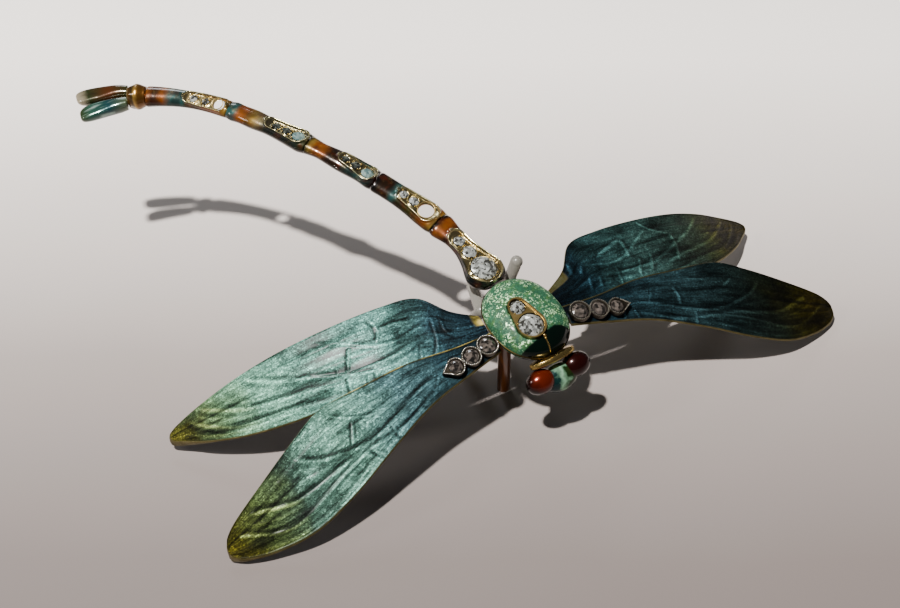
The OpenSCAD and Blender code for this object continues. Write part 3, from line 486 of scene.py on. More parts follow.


# Each side's enamel: colours at the root, colour of the painted highlight arcs near the tip, how dark the
# painted shade in the grooves is and how bright the painted highlight on the veins is, and the colour of its
# gold. The right side's are darker copies: painted shade for the wings turned from the lamp
lit_left_enamel = (((4, 11, 17), (14, 36, 46)), (200, 250, 80), 0.22, 1.7, (740, 580, 150))
shaded_right_enamel = (((1, 5, 9), (8, 24, 33)), (30, 34, 10), 0.6, 3.0, (60, 58, 26))
shaded_right_tip = ((22, 20, 1), (24, 18, 0.4), (34, 27, 0.8))
# columns: wing, its table, depth, side and veins, where its bare gold ends along it and begins across it, and
# its colours in the middle and at the tip
for name, table, depth, side, veins, gold_root, middle, tip in (
        ("fore_wing_left", fore_table, fore_depth, -1, long_fore + cross_fore_left, (0.0, 0.0),
         ((52, 114, 120), (96, 215, 166), (16, 31, 21)), ((36, 54, 16), (30, 30, 3), (75, 62, 5))),
        ("hind_wing_left", hind_table, hind_depth, -1, long_hind + cross_hind_left, (0.045, 0.42),
         ((62, 150, 130), (66, 158, 124), (80, 180, 126)), ((85, 160, 80), (45, 48, 8), (70, 56, 5))),
        # Painted shade: the right wings' colours are darker copies of the left's
        ("fore_wing_right", fore_table, fore_depth, 1, long_fore + cross_fore_right, (0.0, 0.0),
         ((20, 48, 56), (10, 22, 22), (7, 11, 6)), shaded_right_tip),
        ("hind_wing_right", hind_table, hind_depth, 1, long_hind + cross_hind_right, (0.12, 0.72),
         ((44, 110, 104), (34, 75, 62), (24, 36, 14)), shaded_right_tip)):
    root, *light = lit_left_enamel if side < 0 else shaded_right_enamel
    piece = wing(name + "_plate", table, depth, side, veins)
    dress(piece, wing_paint(name + "_enamel", root, middle, tip, gold_root, *light))
    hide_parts(name)


# WING ROOT STONES
# Three round old-cut diamonds on each wing root, in one soldered row of silver bezels drawn out to a point.
# A line of tiny rolled beads runs round the top of each bezel. The stones are cut in the part itself.
wing_stone_d = 1.9
setting_wall = 0.3
bezel_h = 0.26 * wing_stone_d
bead_radius, bead_step = 0.105, 0.215
# columns: share of the largest stone, gap to the one before it as a share of the setting wall
root_stones = [(1, 0), (0.9, 1.5), (0.8, 1.3)]


def around(count):
    """The angles of a full turn, evenly spaced."""
    return np.linspace(0, 2 * np.pi, count, endpoint=False)


def small_balls(name, centres, radii):
    """Many small balls, each of twenty faces, at their centres, in mm."""
    seed = bmesh.new()
    bmesh.ops.create_icosphere(seed, subdivisions=1, radius=1.0)
    ball = np.array([v.co for v in seed.verts])
    faces = np.array([[v.index for v in f.verts] for f in seed.faces])
    seed.free()
    centres, radii = np.array(centres), np.broadcast_to(radii, len(centres))
    points = (centres[:, None] + ball[None] * radii[:, None, None]).reshape(-1, 3) * MM
    mesh = bpy.data.meshes.new(name)
    faces = (np.arange(len(centres))[:, None, None] * len(ball) + faces).reshape(-1, 3)
    mesh.from_pydata(points.tolist(), [], faces.tolist())
    return finished(name, mesh)


def wing_frame(table, depth, t, v):
    """Two directions in the wing's surface, its normal and the point, at t along and v across."""
    t, v = np.array(t), np.array(v)
    p = wing_middle(table, depth, t, v)
    a = unit(wing_middle(table, depth, t + 0.02, v) - p)
    n = unit(np.cross(a, wing_middle(table, depth, t, v + 0.05) - p))
    return a, np.cross(n, a), n, p


def metal(name, roughness, dark, bright, *grain):
    """A bare metal with darker patches, as where it is worn or tarnished."""
    paint = Paint(name, Metallic=1.0, Roughness=roughness)
    paint.set(Base_Color=paint.mix(paint.noise(*grain), dark, bright))
    return paint


silver = metal("beaded_silver", 0.22, (200, 190, 160), (740, 720, 660), 1800, 2)
shaded_silver = metal("shaded_bead_silver", 0.3, (20, 17, 13), (260, 240, 200), 1500, 3)
# The bezel rows' silver is oxidised, and painted nearly black as shade round the stones
oxidised_shaded_silver = metal("oxidised_and_shaded_silver", 0.34, (10, 8, 6), (120, 100, 75), 1500, 3, 0.6)
oxidised_shaded_silver.set(Normal=oxidised_shaded_silver.bump(oxidised_shaded_silver.noise(3500, 2), 0.00004, 0.5))
places = []
run = root_x + wing_stone_d / 2 + setting_wall + 2 * fit_gap
for i, (share, gap) in enumerate(root_stones):
    if i:
        run += wing_stone_d * (share + root_stones[i - 1][0]) / 2 + setting_wall * gap
    places.append(((run - root_x) / (half_span - root_x) * 1.12, 0.46 - 0.03 * i, wing_stone_d * share))
for side, side_name in ((-1, "left"), (1, "right")):
    centres = []
    for i, (t, v, d) in enumerate(places):
        a, b, n, p = wing_frame(fore_table, fore_depth, t, v)
        count = int(2 * np.pi * (d / 2 + setting_wall * 0.7) / bead_step)
        turn = around(count)[:, None]
        lift = p + n * (wing_thick / 2 + fit_gap + 0.06 + bezel_h + 0.03)
        ring = lift + (d / 2 + setting_wall * 0.7) * (a * np.cos(turn) + b * np.sin(turn))
        if i == 2:
            ring = ring[np.cos(turn[:, 0]) < 0.55]
            corner = d * 0.95 + setting_wall * 0.6
            reach = np.linspace(0.25, 1, 8)[:, None]
            for m in (-1, 1):
                foot = np.array([d * 0.28, m * (d / 2 + setting_wall * 0.45)])
                way = foot[None] * (1 - reach) + np.array([corner, 0.0])[None] * reach
                ring = np.concatenate([ring, lift + way[:, :1] * a + way[:, 1:] * b])
        centres.append(ring)
    centres = np.concatenate(centres) * (side, 1, 1)
    beads = small_balls("bezel_beads_" + side_name, centres, bead_radius)
    # Painted shade: the right beads get a darker copy of the silver, the left ones the bright copy
    dress(beads, silver if side < 0 else shaded_silver)
    dress(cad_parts["bezel_row_" + side_name], oxidised_shaded_silver)


# STONES
# Old-cut diamonds, colourless and hard, polished to flat facets. The part has their tables, crowns and
# backs, and here they only get their finish.
def stone_paint(name, light, shade, clear=0.35):
    """Clear stone: each facet's tone, a painted glint or painted dark reflection, comes from a coarse pattern
    of cells inside it.
    """
    paint = Paint(name, Roughness=0.03, IOR=2.2, Transmission_Weight=clear)
    glints = paint.flakes(3600)
    paint.set(Base_Color=paint.mix(paint.step(glints, 0.25, 0.95), shade, light), Metallic=0.3)
    return paint


diamond = stone_paint("diamond", (700, 740, 700), (45, 45, 38))
smoky = stone_paint("wing_diamond", (200, 165, 140), (12, 10, 8))
cloudy = stone_paint("cloudy_diamond", (340, 480, 450), (100, 180, 180), 0.25)
dark_stone = stone_paint("dark_diamond", (160, 180, 150), (6, 8, 7))
for name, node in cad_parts.items():
    if "stone" in name:
        dull = name[:7] in ("stone_3", "stone_4")
        dim_finish = cloudy if "large" in name else dark_stone
        dress(node, smoky if "wing" in name else dim_finish if dull else diamond)


# THORAX
# A domed gold body under jade-green enamel with foil flakes. Its front is near-black green enamel, parted
# from the jade by a fine gold line that runs on to the head. A gold wire runs round its widest line.
body_turn, body_x = 8, -0.3
thorax_dome, thorax_belly = 2.3, 2.6
thorax_dip = 15
thorax_z = wing_height + 0.7
dome_x = 0.25
small_d, large_d = 1.7, 2.8
small_y = 0.08 * thorax_length
large_y = small_y - (small_d + large_d) / 2 - 1.1 * setting_wall
cartouche_z = thorax_dome * 0.82
pit_depth = 0.85
grip_rise, grip_radius = 0.22, 0.13
frame_x, frame_lean, frame_dip = -0.0675 * thorax_width, 7, 3


def spun(points, a, b, degrees):
    """Points turned by an angle from axis a towards axis b."""
    points = np.array(points, float)
    c, s = np.cos(np.radians(degrees)), np.sin(np.radians(degrees))
    points[..., [a, b]] = points[..., [a, b]] @ np.array([[c, s], [-s, c]])
    return points


def body_place(points):
    """From the body's own frame to the part's: turned about the upright axis, then moved."""
    return spun(points, 0, 1, body_turn) + (body_x, shift_y, 0)


def thorax_place(points):
    """From the thorax's own frame: dipped towards the head and raised, then placed with the body."""
    return body_place(spun(points, 1, 2, thorax_dip) + (0, 0, thorax_z))


def thorax_scale(s):
    return (1 - np.abs(s) ** 2.3) ** (1 / 2.1)


def frame_point(points):
    """From the stone frame's own frame to the thorax's: dipped to the head, then leaned to the left."""
    return spun(spun(points, 1, 2, frame_dip), 0, 2, frame_lean) + (frame_x, 0, 0)


def cartouche_gap(x, y):
    """How far a point lies outside the stone frame's outline: two circles, joined by straights."""
    rs, rl = small_d / 2 + setting_wall, large_d / 2 + setting_wall
    span = small_y - large_y
    share = np.clip((y - large_y) / span, 0, 1)
    return np.hypot(x, y - (large_y + share * span)) - mix(rl, rs, share)


turn = around(200)
along = np.sin(np.radians(np.linspace(-84, 84, 150))) * 0.99
along, turn = np.meshgrid(along, -turn, indexing="ij")
wide = thorax_scale(along)
x = dome_x + thorax_width / 2 * wide * np.cos(turn)
y = thorax_length / 2 * along
top = np.sin(turn) > 0
z = np.where(top, thorax_dome, thorax_belly) * wide * np.sin(turn)
# The seam between jade and dark enamel: a long lobe of jade on the left, and a short one on the right
seam_x = [-9, -4.2, -3.2, -2.1, -1.0, 0.1, 0.8, 1.5, 2.4, 3.3, 4.2, 9]
seam_y = [-3.4, -3.6, -3.7, -3.6, -3.5, -3.25, -3.15, -3.05, -3.3, -3.8, -4.4, -5.0]
ahead_of_seam = np.interp(x, seam_x, seam_y) - y
groove = hump(ahead_of_seam, 0, 0.14) * top * 0.05
points = np.stack([x, y, z - groove], -1)
sunk = spun(spun(points - (frame_x, 0, 0), 0, 2, -frame_lean), 1, 2, -frame_dip)
gap = cartouche_gap(sunk[..., 0], sunk[..., 1])
sunk[..., 2] = np.where(top & (gap < 0.03), np.minimum(sunk[..., 2], cartouche_z - pit_depth), sunk[..., 2])
points = thorax_place(frame_point(sunk))
poles = [thorax_place([dome_x, m * thorax_length / 2, 0]) for m in (-1, 1)]
dome = shell("thorax_dome", points, *poles, {"dark": smooth(ahead_of_seam, -0.1, 0.1)})
jade = Paint("jade_enamel", Coat_Weight=0.05, Coat_Roughness=0.12, Specular_IOR_Level=0.25)
flake_tone = jade.flakes(7000)
shine = jade.step(flake_tone, 0.7, 0.94) * jade.step(jade.noise(600, 2), 0.4, 0.56)
green = jade.mix(jade.noise(420, 3), (3, 32, 14), (30, 125, 62))
green = jade.mix(jade.step(jade.noise(1600, 2), 0.5, 0.7) * 0.7, green, (45, 120, 26))
green = jade.scaled(green, jade.step(flake_tone, 0.0, 0.8, 0.6, 1.2))
green = jade.mix(shine, green, (550, 850, 480))
dark = jade.mark("dark")
jade.set(Base_Color=jade.mix(dark, green, (0.3, 2.5, 1.5)),
         Metallic=shine * (1 - dark) * 0.75 + 0.05, Roughness=jade.step(dark, 0, 1, 0.58, 0.1),
         Normal=jade.bump(flake_tone * (1 - dark), 0.00009, 0.9))
dress(dome, jade)
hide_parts("thorax")


def wire(name, path, radius, sides=12, closed=False):
    """A round wire along a path, in mm: circles set square to the path, each turned from the one before."""
    path = np.asarray(path, float)
    ahead = unit(np.roll(path, -1, 0) - np.roll(path, 1, 0)) if closed else unit(np.gradient(path, axis=0))
    flat = unit(np.cross(ahead, (0.013, 0.017, 1)))
    up = np.cross(flat, ahead)
    turn = around(sides)[None, :, None]
    radius = np.broadcast_to(radius, len(path))[:, None, None]
    rings = path[:, None] + radius * (flat[:, None] * np.cos(turn) + up[:, None] * np.sin(turn))
    if not closed:
        ends = path[[0, -1]] + ahead[[0, -1]] * radius[[0, -1], 0] * ((-0.5,), (0.5,))
        return shell(name, rings, *ends)
    n, m = rings.shape[:2]
    here = np.arange(n * m).reshape(n, m)
    after = np.roll(here, -1, 0)
    quads = np.stack([here, np.roll(here, -1, 1), np.roll(after, -1, 1), after], -1)
    mesh = bpy.data.meshes.new(name)
    mesh.from_pydata((rings.reshape(-1, 3) * MM).tolist(), [], quads.reshape(-1, 4).tolist())
    return finished(name, mesh)


gold = Paint("gold", Metallic=1.0)
wear = gold.noise(1100, 3, 0.6)
gold.set(Base_Color=gold.mix(wear, (260, 160, 35), (720, 520, 180)),
         Roughness=gold.step(wear, 0.3, 0.7, 0.34, 0.18),
         Normal=gold.bump(gold.noise(3800, 2), 0.00003, 0.5))
line_x = -0.3
y = np.linspace(-3.5, -5.15, 40)
w = thorax_scale(y * 2 / thorax_length)
z = thorax_dome * w * np.sqrt(np.clip(1 - ((line_x - dome_x) / (thorax_width / 2 * w)) ** 2, 0, 1))
line_path = thorax_place(np.stack([0 * y + line_x, y, z - 0.02], -1))
line = wire("thorax_line", line_path, np.linspace(0.1, 0.08, 40))
turn = around(160)
s = np.sin(turn)
share = s * 0.985
belt_path = thorax_place(np.stack([dome_x + np.sign(np.cos(turn)) * (thorax_width / 2) * thorax_scale(share),
                                   thorax_length / 2 * share, 0 * s - 0.1], -1))
belt = wire("thorax_belt", belt_path, 0.1, closed=True)
dress(line, gold)
# The belt's gold is painted near-black, far darker than the line's gold
dress(belt, metal("near_black_belt_gold", 0.4, (4, 3, 1), (60, 40, 12), 900, 3))
knots = [[line_x, y, thorax_dome * thorax_scale(y * 2 / thorax_length) + rise]
         for y, rise in ((-3.6, 0.02), (-3.9, 0))]
knot = small_balls("thorax_line_bead", thorax_place(knots), (0.24, 0.16))
dress(knot, gold)
dull_gold = metal("dull_gold", 0.3, (20, 12, 3), (500, 360, 130), 800, 3, 0.6)
dress(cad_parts["thorax_cartouche"], dull_gold)
grip = []
for cy, radius in ((small_y, small_d / 2 * 1.04), (large_y, large_d / 2 * 1.04)):
    for angle in np.radians((35, 145, 215, 325)):
        grip.append((radius * np.cos(angle), cy + radius * np.sin(angle), cartouche_z + grip_rise))
grips = small_balls("thorax_stone_grips", thorax_place(frame_point(grip)), grip_radius)
dress(grips, gold)


# HEAD
# A gold collar band, two large enamelled eyes, the left orange-red and the right painted darker, to maroon,
# as shade, and a green face between them. The eyes and the face are small eggs of gold under clear enamel.
head_width, eye_depth = 8.2, 2.8
collar_band, collar_top, collar_h = 0.7, 0.35, 3.0
eye_w, eye_h = head_width * 0.43, eye_depth * 0.92
back = collar_top - collar_band - fit_gap
eye_x, eye_y = head_width / 2 - eye_w * 0.52, back - eye_depth / 2
head_dip, head_roll, head_turn = 50, 5, -5
neck = spun((0, -thorax_length / 2, 0), 1, 2, thorax_dip) + (0, 0.05, thorax_z - 0.55)


def head_place(points):
    """From the head's own frame: dipped, rolled and turned, then placed at the thorax's neck."""
    return body_place(spun(spun(spun(points, 1, 2, head_dip), 0, 2, head_roll), 0, 1, head_turn) + neck)


def eye_ball(name, side):
    """An egg that lies across the head, its inner end a little shorter than its outer end."""
    inner, outer = eye_w * 0.48, eye_w * 0.52
    a = np.radians(np.linspace(-86, 86, 44))[:, None]
    b = around(72)[None, :]
    x = np.where(a < 0, inner, outer) * np.sin(a) + 0 * b
    rings = np.stack([side * (x + eye_x), eye_y + eye_depth / 2 * np.cos(a) * np.cos(b),
                      eye_h / 2 * np.cos(a) * np.sin(b)], -1)
    ends = [head_place([side * (eye_x + q), eye_y, 0]) for q in (-inner, outer)]
    return shell(name, head_place(rings), *ends, {"out": x / outer, "up": np.sin(b) * np.cos(a)})


def eye_paint(name, lit_tone, body, shade):
    """Translucent enamel, painted lighter on its top and darker towards its outer end, as painted light and
    shade, with random patches.
    """
    paint = Paint(name, Coat_Weight=0.45, Coat_Roughness=0.08, Specular_IOR_Level=0.2)
    tone = paint.mark("up") * 0.55 - paint.mark("out") * 0.35 + (paint.noise(520, 3) - 0.5) * 1.1
    paint.set(Base_Color=paint.ramp(tone + 0.45, 0, shade, 42, body, 85, lit_tone), Metallic=0.45,
              Roughness=0.22, Normal=paint.bump(paint.noise(2600, 2), 0.00003, 0.4))
    return paint


# Painted shade: the right eye's tones are a darker copy of the left's
for side, side_name, tones in ((-1, "left", ((85, 7, 0.3), (8, 0.6, 0.2), (1, 0.2, 0.1))),
                               (1, "right", ((14, 0.8, 0.2), (4, 0.5, 0.2), (1, 0.2, 0.1)))):
    eye = eye_ball("eye_ball_" + side_name, side)
    dress(eye, eye_paint("red_enamel_" + side_name, *tones))
    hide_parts("eye_" + side_name)

# The face: a smaller egg between the eyes, set a little forward
a = np.radians(np.linspace(-84, 84, 60))[:, None]
b = around(80)[None, :]
face_y, face_z = eye_y - eye_depth * 0.12, -0.1
front, rear = eye_depth * 0.62, eye_depth * 0.5
deep = np.where(a < 0, front, rear)
x = head_width * 0.28 * np.cos(a) * np.cos(b)
y = np.minimum(face_y + deep * np.sin(a) + 0 * b, back)
z = face_z + eye_h * 0.45 * np.cos(a) * np.sin(b)
ends = head_place([[0, face_y - front, face_z], [0, min(face_y + rear, back), face_z]])
face = shell("face_egg", head_place(np.stack([x, y, z], -1)), *ends, {"side": x / head_width})
mask = Paint("face_enamel", Coat_Weight=0.45, Coat_Roughness=0.08, Specular_IOR_Level=0.2, Metallic=0.35,
             Roughness=0.22)
# Painted highlight: a pale mint band near the middle of the face, with painted shade darker to both sides
tone = mask.mark("side") * 1.5 + (mask.noise(700, 3) - 0.5) * 0.7 + 0.5
mask.set(Base_Color=mask.ramp(tone, 0, (1, 8, 13), 35, (4, 22, 20), 52, (220, 420, 260), 65, (6, 22, 4),
                              100, (30, 20, 2)),
         Normal=mask.bump(mask.noise(1500, 2), 0.00008, 0.5))
dress(face, mask)
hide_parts("face")

# The collar: a gold band with a fine raised lip at both edges
collar_w = head_width * 0.69
q = np.linspace(0, 1, 24)[:, None]
b = -around(120)[None, :]
grow = mix(0.8, 1.0, np.sin(np.pi * np.clip(q * 0.9 + 0.05, 0, 1)) ** 0.45)
grow = grow + 0.025 * (hump(q, 0.2, 0.08) + hump(q, 0.85, 0.08))
rings = np.stack([collar_w / 2 * grow * np.cos(b), collar_top + collar_band * (q - 1) + 0 * b,
                  collar_h / 2 * grow * np.sin(b)], -1)
collar = shell("collar_band", head_place(rings))
dress(collar, gold)
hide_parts("head_collar")


# ABDOMEN
# Five hollow gold segments, end to end, under amber, brown, teal and olive enamel. On each a raised gold wire
# holds a bright floor with its stones. The second and the fifth have one empty setting, open right through.
abdomen_length, abdomen_width, abdomen_flat = 52.3, 5.0, 0.6
abdomen_bend, abdomen_rise, abdomen_roll = 72, 18, 22
wire_rise, wire_width = 0.22, 0.32
# The mesh of a segment: the step between its rings, and points across its top and its belly
ring_step, crest_points, belly_points = 0.085, 110, 42
clasper_length, clasper_width = 6.2, 2.2
# columns, in percent: place along; the bend turned, the rise left, the roll
way_table = np.array([
    [0, 8, 116, 0], [6, 14, 103, 0], [12, 20, 95, 10], [18, 30, 95, 30], [25, 41, 105, 30],
    [33, 47.5, 104, 20], [41, 48.5, 87, 0], [52, 47.5, 60, 0], [64, 45.5, 40, 10], [72, 47.5, 21, 60],
    [79, 52.5, 1, 100], [87, 62, -15, 100], [94, 74, -28, 80], [100, 88, -39, 70], [112, 108, -52, 60]]) / 100
# columns, in percent: place along, width over the widest
width_table = np.array([
    [0, 56], [1.2, 84], [3.2, 100], [5, 92], [6.7, 78], [8.5, 66], [10.5, 56], [12.5, 52.5], [14.2, 53.5],
    [16.1, 61], [18, 69], [19.05, 65.5], [20.2, 71], [22.3, 71.5], [24, 70], [26, 65.5], [29.5, 60.5],
    [33.5, 60], [35.5, 61], [36.05, 57.5], [37.2, 61], [39.8, 55.5], [41.8, 56.5], [44.8, 57.5],
    [47.5, 53], [50.5, 47.5], [52.5, 52], [53.55, 55.5], [55.2, 63], [56.7, 61], [60, 54.5], [64, 49.5],
    [67.8, 53], [71.5, 49], [73.5, 51], [74.8, 45], [75.5, 46.5], [79, 44.5], [83, 43.5], [87, 45],
    [90.5, 49], [93, 52], [95.6, 54.5], [100, 50]]) / 100
stone_gap = 0.28
# columns, as shares of the length: start, end, start of the group of stones, place of its first stone. Then
# the floor beyond its last stone, as a share of the setting wall, and the floor's half width at both ends
segment_table = [
    (0.0, 0.1905, 0.002, 0.0402, 2.3, 0.81, 0.37), (0.192, 0.3605, 0.197, 0.262, 0.73, 0.5, 0.33),
    (0.362, 0.5355, 0.364, 0.385, 1.2, 0.44, 0.27), (0.537, 0.7475, 0.541, 0.564, 3.0, 0.44, 0.29),
    (0.749, 0.956, 0.753, 0.809, 2.4, 0.37, 0.25)]
# The stones; columns: diameter as a share of the width, gap to the one before it as a share of stone_gap
stone_table = [[(0.62, 0), (0.33, 1), (0.28, 1)], [(0.24, 0), (0.22, 1)], [(0.3, 0), (0.23, 1), (0.2, 1)],
               [(0.31, 0), (0.22, 1), (0.22, 1)], [(0.18, 0), (0.2, 2.3)]]
segments, stones = [], []
for (start, end, group, first, beyond, wide, narrow), row in zip(segment_table, stone_table):
    place, group_stones = first * abdomen_length, []
    for share, gap in row:
        if group_stones:
            place += (share + group_stones[-1][1]) * abdomen_width / 2 + gap * stone_gap
        group_stones.append((place, share))
    stones.append(group_stones)
    segments.append((start * abdomen_length, end * abdomen_length, group * abdomen_length + 0.05,
                     place + row[-1][0] * abdomen_width / 2 + beyond * setting_wall,
                     wide * abdomen_width / 2, narrow * abdomen_width / 2))
# Empty settings, ahead of a segment's first stone; columns: segment, diameter, gap as a share of stone_gap
holes = {}
for i, d, gap in ((1, 1.9, 0.9), (4, 1.3, 2.25)):
    place, share = stones[i][0]
    holes[i] = (place - (share * abdomen_width + d) / 2 - gap * stone_gap, d)


def turned(s):
    return -np.radians(abdomen_bend) * read_at(way_table, 1, s / abdomen_length)


def ahead(s):
    """The abdomen's direction at a length along it: bent to its side and rising."""
    h, c = turned(s), np.radians(abdomen_rise) * read_at(way_table, 2, s / abdomen_length)
    return np.stack([np.sin(h) * np.cos(c), np.cos(h) * np.cos(c), np.sin(c)], -1)


rear = spun((0, thorax_length / 2, 0), 1, 2, thorax_dip) + (0, 0.3, thorax_z + 0.05)
way_count = 64
way_ds = (abdomen_length + clasper_length) / way_count
way_start = body_place(rear) - (0.12, 0, 0)
way_steps = ahead((np.arange(way_count) + 0.5) * way_ds) * way_ds
way = np.concatenate([[way_start], way_start + np.cumsum(way_steps, 0)])


def way_frame(s):
    """Side, ahead, up and the point, at each length along the abdomen."""
    s = np.asarray(s, float)
    point = np.stack([np.interp(s, np.arange(way_count + 1) * way_ds, way[:, c]) for c in range(3)], -1)
    h, t = turned(s), ahead(s)
    flat = np.stack([np.cos(h), -np.sin(h), 0 * h], -1)
    up = np.cross(flat, t)
    r = np.radians(abdomen_roll) * read_at(way_table, 3, s / abdomen_length)[..., None]
    side = flat * np.cos(r) + up * np.sin(r)
    return side, t, np.cross(side, t), point


def along_way(s, x, z):
    """Rings of points at lengths s along the abdomen, x to the side of its middle line and z above it."""
    side, _, up, point = (q[:, None] for q in way_frame(s[:, 0]))
    return point + side * x[..., None] + up * z[..., None]


def half_wide(s):
    return abdomen_width / 2 * read_at(width_table, 1, s / abdomen_length)


def half_high(s):
    return half_wide(s) * abdomen_flat * mix(1, 1.45, s / abdomen_length)


def crest(x, s):
    return half_high(s) * 0.8 * np.sqrt(np.maximum(0.02, 1 - (x / half_wide(s)) ** 2))


def group_half(segment, s):
    """Half width of a group's floor: round at both ends, the second narrower."""
    a, b, p, q = s - segment[2], segment[3] - s, segment[4], segment[5]
    middle = mix(p, q, np.clip((a - p) / np.maximum(0.1, a + b - p - q), 0, 1) ** 0.8)
    half = np.where(a < p, np.sqrt(np.maximum(0, p * p - (p - a) ** 2)),
                    np.where(b < q, np.sqrt(np.maximum(0, q * q - (q - b) ** 2)), middle))
    half = np.where((a <= 0) | (b <= 0), 0, half)
    return np.maximum(0.05, np.minimum(half, half_wide(s) * 0.96 - wire_width))


def segment_body(index):
    """One segment: a round belly, and a crest cut by a floor between wires, with a cup under each stone."""
    segment = segments[index]
    start, end = segment[0], segment[1] - fit_gap
    count = int((end - start) / ring_step)
    s = np.linspace(start, end, count)[:, None]
    belly = np.linspace(np.pi, 2 * np.pi, belly_points)[1:-1]
    angle = np.concatenate([np.linspace(0, np.pi, crest_points), belly])[None, :]
    w, h = half_wide(s), half_high(s)
    x = w * np.cos(angle)
    above = np.sin(angle) > -1e-6
    half = group_half(segment, s)
    a, b, p, q = s - segment[2], segment[3] - s, segment[4], segment[5]
    out = np.abs(x) - half
    out = np.where(a < p, np.maximum(out, np.hypot(x, p - a) - p), out)
    out = np.where(b < q, np.maximum(out, np.hypot(x, q - b) - q), out)
    floor = crest(np.minimum(half + wire_width, w * 0.98), s) + 0.0 * x
    high = crest(x, s)
    round_wire = np.sqrt(np.clip(1 - ((out - wire_width / 2) / (wire_width * 0.5)) ** 2, 0, 1))
    on_wire = (out > 0) & (out < wire_width)
    z = np.where(out < 0, floor - 0.05, high)
    z = np.where(on_wire, mix(floor, high, np.clip(out / wire_width, 0, 1)) + wire_rise * round_wire, z)
    cup = np.zeros(z.shape)
    for place, share in stones[index]:
        r, away = share * abdomen_width / 2, np.hypot(x, s - place)
        down = np.where(away < r + 0.05, 0.18 + 0.75 * (r + 0.05 - away), 0)
        cup = np.maximum(cup, down)
        lip = 0.1 * hump(away, r + 0.1, 0.07)
        z = np.where((out < 0.1) & (away > r), z + lip, z)
    z = np.where(above, z - cup * (out < 0.15), h * np.sin(angle))
    poles = [way_frame(np.array(v))[3] for v in (start, end)]
    thread = smooth(out, 0.05, 0.1) * (1 - smooth(out, 0.17, 0.23))
    marks = {"run": (s - start) / (end - start), "wire": np.where(above, thread, 0.0),
             "floor": np.where(above, (out < 0.02) * 1.0, 0.0), "lift": np.sin(angle)}
    return shell(f"abdomen_{index + 1}_shell", along_way(s, x, z), *poles, marks)


def abdomen_paint(index, stops, floor):
    """Enamel whose colours run along the segment, with gold wires and a bright floor under the stones."""
    paint = Paint(f"abdomen_{index + 1}_enamel", Coat_Weight=0.6, Coat_Roughness=0.07,
                  Specular_IOR_Level=0.25)
    run = paint.mark("run") + (paint.noise(900, 3, 0.6) - 0.5) * 0.06
    body = paint.ramp(run, *stops)
    # Patches of gold, red and near black; columns: noise, where one starts, is full, share, depth, tone
    for grain, start, full, share, depth, tone in (
            ((1300, 3, 0.65), 0.56, 0.74, 0.4, 0.5, (400, 270, 80)),
            ((850, 2), 0.5, 0.64, 0.55, 0.6, (110, 14, 2)), ((600, 2), 0.56, 0.38, 0.8, 0.75, (6, 5, 4))):
        patch = paint.step(paint.noise(*grain), start, full) * share
        body = paint.mix(patch, body, paint.mix(depth, body, tone))
    # Painted shade: the lower sides and the belly darken to near black
    low = paint.step(paint.mark("lift"), 0.55, -0.35)
    body = paint.mix(low * 0.85, body, (4, 3, 2))
    wires, ground = paint.mark("wire"), paint.mark("floor")
    bright = paint.mix(paint.noise(2200, 3, 0.6), floor, (620, 520, 260))
    gilt = paint.mix(paint.step(paint.noise(420, 3), 0.35, 0.62), (50, 42, 14), (580, 520, 260))
    bare = wires.most(ground)
    colour = paint.mix(wires, paint.mix(ground, body, bright), gilt)
    paint.set(Base_Color=colour, Metallic=paint.step(bare, 0, 1, 0.4, 1.0),
              Roughness=paint.step(bare, 0, 1, 0.24, 0.22),
              Normal=paint.bump(paint.noise(1700, 3, 0.6), 0.00005, 0.45))
    return paint


def bore(piece, index, paint):
    """Cuts an empty setting through a segment: a leaning hole that widens under the floor."""
    place, d = holes[index]
    side, t, up, point = way_frame(np.array(place))
    lean = np.radians(-14)
    axis = up * np.cos(lean) + side * np.sin(lean)
    across = side * np.cos(lean) - up * np.sin(lean)
    middle = point + up * half_high(place) * 0.4
    turn = around(48)[:, None]
    circle = across * np.cos(turn) + t * np.sin(turn)
    rings = [middle + axis * z + circle * r for z, r in ((-4.3, d / 2 + 3), (-0.3, d / 2), (4, d / 2))]
    cutter = shell("cutter", np.array(rings))
    dress(cutter, paint)
    made = piece.modifiers.new("bore", "BOOLEAN")
    made.object, made.solver, made.operation, made.material_mode = cutter, "EXACT", "DIFFERENCE", "TRANSFER"
    bpy.context.view_layer.update()
    mesh = bpy.data.meshes.new_from_object(piece.evaluated_get(bpy.context.evaluated_depsgraph_get()))
    piece.modifiers.clear()
    piece.data = mesh
    bpy.data.objects.remove(cutter)
    level = point + up * (crest(0.5 * d, place) + 0.02) + side * np.sin(lean) * crest(0, place) * 0.4
    rim = wire(f"empty_setting_{index + 1}", level + circle * (d / 2 + 0.05), 0.065, closed=True)
    dress(rim, dull_gold)


inside = Paint("bore_enamel", Base_Color=(420, 170, 20), Metallic=0.7, Roughness=0.3, Coat_Weight=0.5)
amber, brown, black = (160, 45, 4), (14, 5, 1), (1, 1, 1)
teal, olive, gilt_tone = (16, 60, 55), (22, 21, 3), (200, 120, 18)
